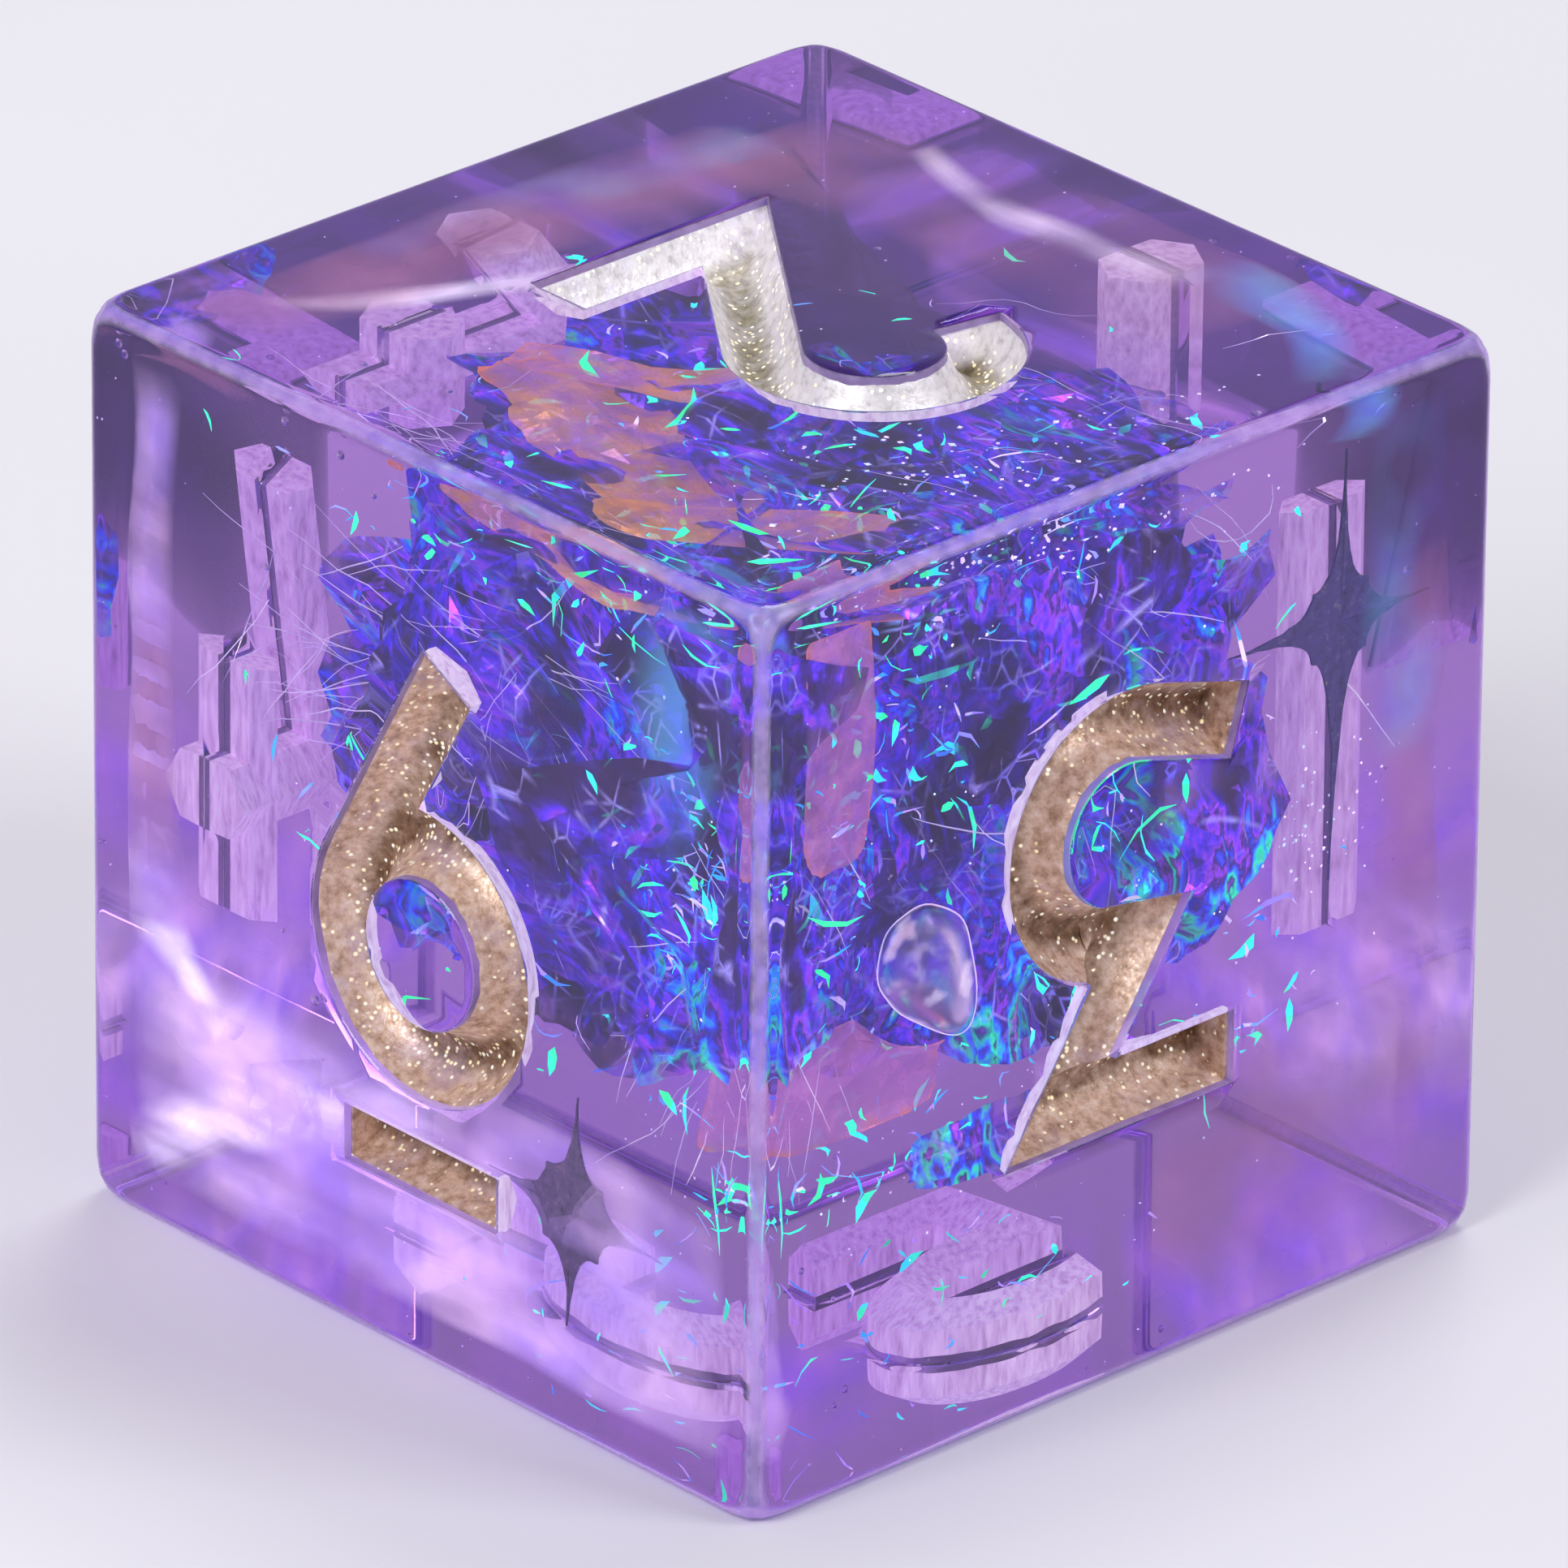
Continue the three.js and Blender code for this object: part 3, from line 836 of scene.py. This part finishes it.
# centre, heading, tilt, size, material, folds, depth of the folds and raggedness of the outline
SHEETS = [
    ((3.9, -1.9, 10.6), 92, 6, (11.0, 9.0), FILM_DEEP, 9, 0.8, 1.0),
    ((4.0, -5.4, 10.8), -8, -6, (8.0, 8.5), FILM_VIOLET, 8, 0.8, 1.0),
    ((1.6, -2.6, 9.6), 35, 14, (10.0, 8.5), FILM_DEEP, 8, 0.8, 1.0),
    ((5.4, -1.7, 9.6), 80, -12, (10.5, 8.0), FILM_BRIGHT, 9, 0.8, 1.0),
    ((2.6, -1.2, 13.2), 25, 78, (11.0, 10.0), FILM_VIOLET, 9, 0.8, 1.0),
    ((1.2, 0.6, 9.8), 118, 10, (8.0, 7.5), FILM_DEEP, 8, 0.8, 1.0),
    ((1.0, -4.4, 14.4), -12, 84, (7.0, 2.8), FILM_AMBER, 8, 0.35, 1.0),
    ((6.5, -5.3, 6.8), 84, 14, (3.8, 2.2), FILM_MAUVE, 8, 0.12, 0.3),
    ((-1.4, -3.6, 9.4), -20, -12, (8.5, 6.5), FILM_VIOLET, 8, 0.8, 1.0),
]
SCRAPS = [
    ((6.75, -5.7, 13.0), 96, 4, (1.5, 4.6), FILM_MAUVE, 8, 0.15, 0.25),
    ((4.6, -5.2, 14.7), 38, 88, (5.0, 1.5), FILM_AMBER, 8, 0.15, 0.25),
    ((-0.8, -2.6, 14.5), 24, 86, (4.2, 1.2), FILM_AMBER, 8, 0.15, 0.25),
    ((4.4, 1.6, 14.3), 30, 82, (4.0, 3.0), FILM_BRIGHT, 8, 0.3, 1.0),
    ((1.9, -6.5, 8.4), 4, 2, (4.2, 1.7), FILM_BRIGHT, 8, 0.15, 1.0),
    ((6.3, -0.4, 4.7), 88, -20, (6.5, 1.2), FILM_BRIGHT, 8, 0.3, 1.0),
]
for i, scrap in enumerate(SCRAPS, 1):
    finish_piece(crumpled_sheet(f"film_scrap_{i}", *scrap), "iridescent_film")
for i, sheet in enumerate(SHEETS, 1):
    finish_piece(crumpled_sheet(f"film_sheet_{i}", *sheet), "iridescent_film", f"film_fold_{i}")


class Bits:
    """Many small solids gathered in one piece."""

    def __init__(self):
        self.verts, self.faces = [], []

    def extend(self, verts, faces):
        if any((v - AIR_BUBBLE).length < BUBBLE_CLEAR for v in verts):
            return
        base = len(self.verts)
        self.verts += [kept_inside(v) for v in verts]
        self.faces += [tuple(base + i for i in face) for face in faces]

    def piece(self, name, material):
        return finish_piece(new_piece(name, self.verts, self.faces, [material]), "iridescent_film")


def cloud_point(centre, spread):
    return Vector([rng.gauss(c, s) for c, s in zip(centre, spread)])


def random_turn():
    axis = cloud_point((0, 0, 0), (1, 1, 1)).normalized()
    return Matrix.Rotation(rng.uniform(0, math.tau), 3, axis)


def add_shard(bits, centre, length, width):
    """A curved sliver: a thin closed strip, pointed at both ends."""
    turn = random_turn()
    bend, twist = rng.uniform(-0.15, 0.15) * length, rng.uniform(-0.15, 0.15) * length
    here = rng.uniform(-0.1, 0.1) * length
    fifth, half = length / 5, width / 2
    line = [
        (-length / 2, -bend, 0),
        (here - fifth, bend * 0.3 + half, twist), (here + fifth, bend * 0.6 + half, twist),
        (length / 2, -bend, 0),
        (here + fifth, bend * 0.6 - half * 0.6, twist), (here - fifth, bend * 0.3 - half, twist),
    ]
    lift = turn @ Vector((0, 0, FILM_THICKNESS * 0.4))
    flat = [turn @ Vector(p) + centre for p in line]
    faces = [(0, 1, 5), (1, 2, 4, 5), (2, 3, 4)]
    faces += [tuple(k + 6 for k in reversed(face)) for face in faces]
    faces += [(k, k + 6, (k + 1) % 6 + 6, (k + 1) % 6) for k in range(6)]
    bits.extend([p - lift for p in flat] + [p + lift for p in flat], faces)


STRAND_STEP = 0.45        # a hair may turn this often
STRAND_KINK = 0.13
STRAND_RADIUS = (0.008, 0.018)


def add_strand(bits, start, heading, length, radius):
    """A hair of film: a fine three-sided tube that wanders and kinks a little, pointed at both ends."""
    points, point = [], start.copy()
    course = heading.normalized()
    count = max(5, round(length / STRAND_STEP))
    for _ in range(count + 1):
        points.append(point.copy())
        course = (course + cloud_point((0, 0, 0), [STRAND_KINK] * 3)).normalized()
        point = point + course * (length / count)
    verts, faces = [], []
    for i, p in enumerate(points):
        ahead = (points[min(i + 1, count)] - points[max(i - 1, 0)]).normalized()
        side = ahead.cross(Vector((0.3, 0.5, 0.8))).normalized()
        other = ahead.cross(side)
        thick = radius * (0.35 + 0.65 * math.sin(math.pi * i / count))
        for k in range(3):
            a = math.tau * k / 3
            verts.append(p + (side * math.cos(a) + other * math.sin(a)) * thick)
    for i in range(count):
        for k in range(3):
            a, b = i * 3 + k, i * 3 + (k + 1) % 3
            faces.append((a, b, b + 3, a + 3))
    faces += [(2, 1, 0), (count * 3, count * 3 + 1, count * 3 + 2)]
    bits.extend(verts, faces)


OCTAHEDRON = [(1, 0, 0), (0, 1, 0), (0, 0, 1), (-1, 0, 0), (0, -1, 0), (0, 0, -1)]
OCTAHEDRON_FACES = [(0, 1, 2), (1, 3, 2), (3, 4, 2), (4, 0, 2), (1, 0, 5), (3, 1, 5), (4, 3, 5), (0, 4, 5)]


def add_speck(bits, centre, radius):
    turn = random_turn()
    verts = [turn @ Vector(p) * radius * rng.uniform(0.6, 1.0) + centre for p in OCTAHEDRON]
    bits.extend(verts, OCTAHEDRON_FACES)


# painted glints: the slivers, hairs and specks are bits of film and glitter, and the light they give off
# stands for glints
GREEN = painted_glint_material("film_green_glints", [
    (0.0, (0.01, 0.80, 0.22)), (0.5, (0.01, 0.90, 0.42)), (1.0, (0.01, 0.70, 0.80)),
], 1.3)
SHARDS = painted_glint_material("film_blue_glints", [
    (0.0, (0.05, 0.20, 0.95)), (0.4, (0.00, 0.60, 0.95)),
    (0.7, (0.45, 0.25, 0.98)), (1.0, (0.90, 0.85, 1.0)),
], 0.8)
STRANDS = painted_glint_material("film_hairs", [(0.0, (0.70, 0.62, 0.95)), (1.0, (0.92, 0.88, 1.0))], 0.38)
SPECKS = painted_glint_material("glitter", [
    (0.0, (0.95, 0.92, 1.0)), (0.6, (0.85, 0.75, 1.0)), (1.0, (0.60, 0.95, 0.95)),
], 0.8)

# where the slivers gather: centre, spread and number
GLINTS = [
    ((5.2, -5.2, 11.5), (1.2, 1.1, 2.2), 90), ((5.4, -2.0, 11.0), (0.9, 2.6, 2.2), 90),
    ((2.4, -2.5, 14.3), (3.0, 2.8, 0.4), 90), ((5.8, -1.0, 7.0), (0.6, 3.2, 1.3), 50),
    ((0.5, -5.5, 8.0), (2.5, 0.8, 1.6), 30), ((4.0, -3.0, 1.4), (2.5, 2.5, 0.3), 24),
    ((6.3, -5.0, 5.0), (0.3, 1.8, 0.3), 20), ((6.6, 2.8, 5.0), (0.2, 1.2, 0.4), 12),
]
for name, material, share, widths in [
    ("film_blue_slivers", SHARDS, 1.0, (0.03, 0.11)), ("film_green_slivers", GREEN, 0.9, (0.04, 0.22)),
]:
    shards = Bits()
    for centre, spread, count in GLINTS:
        for _ in range(round(count * share)):
            length = rng.uniform(0.15, 0.65) * (2.4 if rng.random() < 0.2 else 1.0)
            place = cloud_point(centre, spread)
            width = rng.uniform(*widths) * min(1.0, length / 0.3)
            add_shard(shards, place, length, width)
    shards.piece(name, material)

# where the hairs gather, the way they run, their number and their length
strands = Bits()
for centre, spread, heading, count, length in [
    ((-1.5, -5.8, 12.6), (2.4, 0.5, 0.9), (1, 0.1, -0.25), 22, (2.0, 5.0)),
    ((1.6, -5.6, 11.6), (1.6, 0.6, 1.2), (0.4, 0.1, -1), 18, (1.5, 4.0)),
    ((-4.6, -5.4, 9.6), (0.9, 0.6, 0.8), (1, 0.1, 0.75), 22, (1.2, 3.2)),
    ((5.8, -6.4, 7.6), (0.7, 0.4, 0.9), (-0.5, 0.0, -1), 18, (1.0, 3.0)),
    ((5.8, 0.5, 12.6), (0.5, 2.2, 1.0), (0.0, 1.0, -0.7), 14, (2.5, 6.0)),
    ((5.6, -3.6, 9.6), (0.7, 1.8, 1.6), (0.1, 0.5, -1), 14, (1.5, 4.0)),
    ((2.0, 0.0, 14.2), (2.4, 2.6, 0.4), (1, 0.3, 0), 12, (1.5, 4.0)),
]:
    for _ in range(count):
        course = Vector(heading) + Vector((rng.gauss(0, 0.35), rng.gauss(0, 0.25), rng.gauss(0, 0.35)))
        place = cloud_point(centre, spread)
        add_strand(strands, place, course, rng.uniform(*length), rng.uniform(*STRAND_RADIUS))
strands.piece("film_hairs", STRANDS)

# where the specks gather, their number and their size
specks = Bits()
for centre, spread, count, size in [
    ((6.2, 5.0, 8.2), (0.5, 0.8, 0.7), 70, 0.05),
    ((0.0, 0.0, 8.0), (4.0, 4.0, 4.0), 260, 0.035),
    ((5.0, -2.0, 13.9), (1.8, 1.8, 0.5), 90, 0.05),
    ((4.8, -1.4, 14.7), (0.8, 1.4, 0.15), 60, 0.09),
    ((5.5, -2.0, 9.0), (1.0, 3.0, 3.0), 120, 0.04),
    ((-5.5, 5.5, 15.0), (1.6, 1.6, 0.4), 20, 0.035),
    ((5.8, 2.6, 14.3), (0.4, 1.0, 0.4), 16, 0.06),
]:
    for _ in range(count):
        add_speck(specks, cloud_point(centre, spread), size * rng.uniform(0.35, 1.1))
specks.piece("glitter_specks", SPECKS)


# ---- wisps of painted light and shade ---------------------

# faint clouds in the resin that paint light, and a violet sheet that paints shade
BELOW_ENGRAVING = 6.95    # a wisp stops here where there is a numeral, and at BELOW_FACE elsewhere
BELOW_FACE = 7.5
NUMERAL_REACH = 5.3
WISP_THICKNESS = 0.016


def kept_in_resin(p):
    """Brings a point of a wisp back under the faces, and further back behind a numeral."""
    local = Vector((p.x, p.y, p.z - HALF))
    for k in range(3):
        beside = max(abs(local[j]) for j in range(3) if j != k)
        limit = BELOW_ENGRAVING if beside < NUMERAL_REACH else BELOW_FACE
        local[k] = min(max(local[k], -limit), limit)
    return local + Vector((0, 0, HALF))


def wisp(name, material, bands, step=0.5):
    """Each band is a closed thin strip: a path of points, a way across it and a width."""
    verts, faces, fades = [], [], []
    for path, across, width in bands:
        path = [Vector(p) for p in path]
        across = Vector(across).normalized()
        length = sum((b - a).length for a, b in zip(path, path[1:]))
        along = max(6, round(length / step))
        over = max(4, round(width / step))
        rows = []
        for i in range(along + 1):
            t = i / along * (len(path) - 1)
            k = min(int(t), len(path) - 2)
            before, after = path[max(k - 1, 0)], path[min(k + 2, len(path) - 1)]
            u = t - k
            middle = path[k] * (1 - u) + path[k + 1] * u
            middle = middle + (path[k] - before + path[k + 1] - after) * 0.25 * u * (1 - u)
            for j in range(over + 1):
                v = 2 * j / over - 1
                p = middle + across * (v * width / 2 * (0.85 + 0.3 * noise.noise(middle * 0.5)))
                push = noise.noise(p * 0.35 + Vector((0, 0, 7.0)))
                normal = across.cross(path[k + 1] - path[k]).normalized()
                p = kept_in_resin(p + normal * push * 0.5)
                # 1 in the middle of the band and 0 along its outline
                fade = math.sin(math.pi * (i / along)) ** 0.5 * math.cos(v * math.pi / 2) ** 1.2
                rows.append((p, normal, fade))
        base = len(verts)
        count = len(rows)
        for side in (WISP_THICKNESS / 2, -WISP_THICKNESS / 2):
            for p, normal, fade in rows:
                verts.append(p + normal * side)
                fades.append(fade)
        for i in range(along):
            for j in range(over):
                a = base + i * (over + 1) + j
                b, c, d = a + 1, a + over + 2, a + over + 1
                faces.append((a, b, c, d))
                faces.append((a + count, d + count, c + count, b + count))
        rim = [base + j for j in range(over + 1)]
        rim += [base + i * (over + 1) + over for i in range(1, along + 1)]
        rim += [base + along * (over + 1) + j for j in range(over - 1, -1, -1)]
        rim += [base + i * (over + 1) for i in range(along - 1, 0, -1)]
        for a, b in zip(rim, rim[1:] + rim[:1]):
            faces.append((b, a, a + count, b + count))
    piece = new_piece(name, verts, faces, [material], smooth=True)
    attribute = piece.data.attributes.new("fade", "FLOAT", "POINT")
    attribute.data.foreach_set("value", fades)
    return finish_piece(piece, "iridescent_film")


# painted light: a pale lavender cloud that brightens the lower part of the sides and one upright edge
PAINTED_PEARL_LIGHT = painted_light_and_shade_veil(
    "painted_light_pearl_cloud", dark=(0.52, 0.34, 0.98), light=(0.95, 0.72, 1.0),
    low=0.15, high=0.66, painted_glow=0.55, stretch=(0.30, 0.30, 0.9),
)
# painted light: a pink-mauve cloud that brightens the lower part of the +X side, two upright edges and the
# underside of the top face
PAINTED_ROSE_LIGHT = painted_light_and_shade_veil(
    "painted_light_rose_cloud", dark=(0.40, 0.12, 0.32), light=(0.66, 0.28, 0.50),
    low=0.10, high=0.58, painted_glow=0.20, stretch=(0.25, 0.25, 0.4), firmness=0.7,
)
# painted light: pale streaks standing for caustics, light focused through the resin
PAINTED_CAUSTIC_STREAK = painted_light_and_shade_veil(
    "painted_caustic_streak", dark=(0.85, 0.78, 1.0), light=(1.0, 0.95, 1.0),
    low=0.10, high=0.75, painted_glow=0.60, stretch=(0.4, 0.4, 1.6), firmness=1.5,
)
# painted shade: a dark violet sheet in the middle that darkens the upper part of the die
PAINTED_SHADE_VEIL = painted_light_and_shade_veil(
    "painted_shade_violet", dark=(0.045, 0.014, 0.13), light=(0.11, 0.035, 0.23),
    low=0.60, high=0.92, painted_glow=0.40, stretch=(0.22, 0.22, 0.22), firmness=0.35,
)
# painted highlight: a blue-cyan cloud along the upper edges and corners, as if they caught a cyan light
PAINTED_AZURE_HIGHLIGHT = painted_light_and_shade_veil(
    "painted_azure_highlight_cloud", dark=(0.08, 0.12, 0.98), light=(0.15, 0.70, 1.0),
    low=0.0, high=0.34, painted_glow=0.5, stretch=(0.4, 0.4, 0.3),
)

SIDE = -6.95      # the wisps lie just behind the faces, below the engraving
wisp("painted_light_pearl_wisps", PAINTED_PEARL_LIGHT, [
    ([(-7.3, SIDE, 3.0), (-4.0, SIDE, 3.2), (-0.5, SIDE, 2.8)], Z, 4.4),
    ([(-7.2, -5.2, 3.0), (-2.0, -6.2, 2.4), (6.4, -6.7, 2.6)], Z, 4.2),
    ([(-6.5, -6.7, 1.0), (0.0, -6.8, 1.0), (6.8, -6.8, 1.0)], (0, 0.3, 1), 1.6),
    ([(0.5, -6.8, 4.0), (4.0, -6.8, 4.0), (6.8, -6.8, 3.6)], Z, 2.6),
    ([(-7.0, -6.9, 15.0), (-7.1, -6.9, 10.5), (-7.0, -6.9, 5.0)], X, 1.8),
    ([(-6.9, -6.5, 3.4), (-6.8, 0.0, 3.0), (-6.9, 6.6, 3.4)], Z, 4.4),
    ([(-6.5, 6.9, 3.4), (0.0, 6.8, 3.0), (6.6, 6.9, 3.4)], Z, 4.4),
])
wisp("painted_light_rose_wisps", PAINTED_ROSE_LIGHT, [
    ([(6.8, 1.0, 3.0), (6.9, 4.6, 2.8), (6.8, 7.2, 3.2)], Z, 4.8),
    ([(6.9, 6.9, 12.5), (6.9, 6.9, 8.0), (6.9, 6.8, 3.0)], Y, 2.4),
    ([(-6.5, 4.6, 14.9), (-2.0, 5.6, 14.95), (4.5, 6.0, 14.9)], (0.1, 1, 0), 4.8),
    ([(-6.6, -6.6, 14.9), (-6.2, -1.0, 14.95), (-5.6, 5.0, 14.9)], (1, 0.2, 0), 3.0),
    ([(-7.0, -6.9, 13.0), (-7.0, -6.9, 9.0), (-7.0, -6.9, 6.0)], X, 1.6),
])
wisp("painted_caustic_streaks", PAINTED_CAUSTIC_STREAK, [
    ([(-7.6, SIDE, 5.5), (-6.2, SIDE, 4.9), (-5.3, SIDE, 3.9), (-4.6, SIDE, 4.4)], (0.3, 0, 1), 1.1),
    ([(-7.6, SIDE, 0.9), (-5.0, SIDE, 2.0), (-2.6, SIDE, 3.3), (0.6, SIDE, 4.3)], (-0.35, 0, 1), 1.3),
    ([(-7.2, SIDE, 0.8), (-5.0, SIDE, 2.6), (-2.4, SIDE, 3.6)], (-0.5, 0, 1), 1.6),
    ([(-6.6, -5.4, 14.9), (-4.6, -2.2, 14.9), (-3.0, 1.6, 14.9)], X, 1.2),
    ([(-4.0, 6.6, 14.9), (-1.0, 5.8, 14.9), (3.0, 6.4, 14.9)], Y, 1.2),
], step=0.25)
wisp("painted_azure_highlight_wisps", PAINTED_AZURE_HIGHLIGHT, [
    ([(6.9, 6.8, 15.0), (6.9, 6.6, 12.0), (6.9, 6.8, 8.6)], Y, 2.6),
    ([(2.4, 6.9, 14.95), (5.2, 6.6, 14.95), (6.9, 5.2, 14.9)], (0.2, 1, 0), 1.8),
    ([(5.8, -6.9, 15.2), (5.4, -6.9, 13.0), (6.2, -6.9, 10.4)], X, 3.2),
    ([(-6.6, -3.0, 14.9), (-6.6, 1.0, 14.9), (-6.0, 5.0, 14.9)], X, 1.8),
])
wisp("painted_shade_violet", PAINTED_SHADE_VEIL, [
    ([(-7.2, 5.2, 11.4), (-1.5, 3.4, 11.2), (4.0, 0.0, 11.0)], Z, 9.6),
    ([(-2.5, 0.5, 11.0), (1.0, 2.5, 11.4), (4.5, 2.5, 11.2)], Z, 9.2),
], step=0.8)

# ---- stars ------------------------------------------------

STAR_WAIST = 0.86
STAR_RIM = 0.05           # half its thickness at the rim, and at the middle
STAR_DOME = 0.07
STAR_UPPER = star_material("star_violet", (0.06, 0.04, 0.20), (0.34, 0.38, 0.20))
STAR_LOWER = star_material("star_slate", (0.12, 0.09, 0.19), (0.42, 0.34, 0.28))


def curve_between(start, control, end, count=14):
    points = []
    for i in range(count):
        t = i / count
        weights = (1 - t) ** 2, 2 * t * (1 - t), t * t
        points.append(tuple(sum(w * c for w, c in zip(weights, cs)) for cs in zip(start, control, end)))
    return points


def on_axis_of(tip, point):
    """The point's nearest place on the line from the star's centre to the tip."""
    return point[0] if tip[0] else 0, point[1] if tip[1] else 0


def star_piece(node, centre, right, arms, lean, material, waist=STAR_WAIST):
    """A four-pointed sequin with hollow sides, slightly domed and uneven."""
    h = waist / math.sqrt(2)
    tips = [(arms[0], 0), (0, arms[1]), (-arms[2], 0), (0, -arms[3])]
    waists = [(h, h), (-h, h), (-h, -h), (h, -h)]
    outline = []
    for k in range(4):
        tip, after, hollow = tips[k], tips[(k + 1) % 4], waists[k]
        outline += curve_between(tip, on_axis_of(tip, hollow), hollow)
        outline += curve_between(hollow, on_axis_of(after, hollow), after)
    ragged = [0.03 * noise.noise(Vector((x * 6, y * 6, 3.0))) for x, y in outline]
    outline = [(x + r, y - r) for (x, y), r in zip(outline, ragged)]
    upright = Matrix((right, Z, right.cross(Z))).transposed()
    basis = upright @ Matrix.Rotation(math.radians(lean), 3, "Z")
    count = len(outline)
    verts = []
    for out in (STAR_RIM, -STAR_RIM):
        for x, y in outline:
            bend = 0.05 * noise.noise(Vector((x, y, 9.0)))
            verts.append(basis @ Vector((x, y, out + bend)) + Vector(centre))
    verts += [basis @ Vector((0, 0, out)) + Vector(centre) for out in (STAR_DOME, -STAR_DOME)]
    faces = []
    for i in range(count):
        k = (i + 1) % count
        faces.append((i, k, 2 * count))
        faces.append((count + k, count + i, 2 * count + 1))
        faces.append((i, count + i, count + k, k))
    return finish_piece(new_piece(f"{node}_foil", verts, faces, [material]), "star_foil", node)


star_piece("star_sequin_upper", (6.7, 5.2, 11.6), Y, (2.0, 3.0, 2.6, 4.6), -1.5, STAR_UPPER)
star_piece("star_sequin_lower", (3.05, -6.7, 3.6), X, (2.1, 2.1, 2.0, 2.1), -3.0, STAR_LOWER, 0.92)

# ---- floor, lights and render look ------------------------

FLOOR_REACH = 1500.0
FLOOR_GAP = 0.02          # the floor lies just under the die, so that the two don't share a plane


def make_floor():
    n = Nodes("pale_floor")
    drift = n.noise(0.02, 3.0)
    material = n.surface({
        "Base Color": n.ramp(drift, [(0.3, (0.78, 0.77, 0.80)), (0.7, (0.84, 0.83, 0.86))]),
        "Roughness": 0.7,
    })
    corners = [(-1, -1), (1, -1), (1, 1), (-1, 1)]
    verts = [(x * FLOOR_REACH, y * FLOOR_REACH, -FLOOR_GAP) for x, y in corners]
    new_piece("floor", verts, [(0, 1, 2, 3)], [material])


def make_world():
    """A pale studio: brightest round the horizon and softer overhead."""
    world = bpy.data.worlds.new("studio")
    world.use_nodes = True
    bpy.context.scene.world = world
    nodes, links = world.node_tree.nodes, world.node_tree.links
    background = nodes["Background"]
    coords = nodes.new("ShaderNodeTexCoord")
    split = nodes.new("ShaderNodeSeparateXYZ")
    ramp = nodes.new("ShaderNodeValToRGB")
    links.new(coords.outputs["Generated"], split.inputs[0])
    links.new(split.outputs[2], ramp.inputs[0])
    links.new(ramp.outputs[0], background.inputs["Color"])
    stops = ramp.color_ramp.elements
    stops[0].position = 0.15
    stops[0].color = (0.80, 0.78, 0.90, 1)
    stops[1].position = 0.75
    stops[1].color = (0.45, 0.43, 0.50, 1)
    stops.new(0.45).color = (0.90, 0.90, 1.0, 1)
    background.inputs["Strength"].default_value = 0.62


def area_light(name, azimuth, elevation, distance, size, power):
    data = bpy.data.lights.new(name, "AREA")
    data.shape = "RECTANGLE"
    data.size, data.size_y = size
    data.energy = power
    lamp = bpy.data.objects.new(name, data)
    bpy.context.scene.collection.objects.link(lamp)
    towards = direction(azimuth, elevation)
    centre = Vector((0, 0, HALF * MM))
    turn = towards.to_track_quat("Z", "Y").to_matrix().to_4x4()
    lamp.matrix_world = Matrix.Translation(centre + towards * distance) @ turn


make_floor()
make_world()
area_light("key", 5, 42, 0.45, (0.20, 0.20), 0.95)
area_light("side", 115, 40, 0.45, (0.16, 0.22), 0.6)
area_light("top", 205, 66, 0.45, (0.16, 0.16), 0.5)

scene = bpy.context.scene
scene.view_settings.view_transform = "Standard"
scene.cycles.use_denoising = True
scene.cycles.max_bounces = 14
scene.cycles.transmission_bounces = 12
scene.cycles.glossy_bounces = 6
scene.cycles.transparent_max_bounces = 16
scene.cycles.sample_clamp_indirect = 6.0
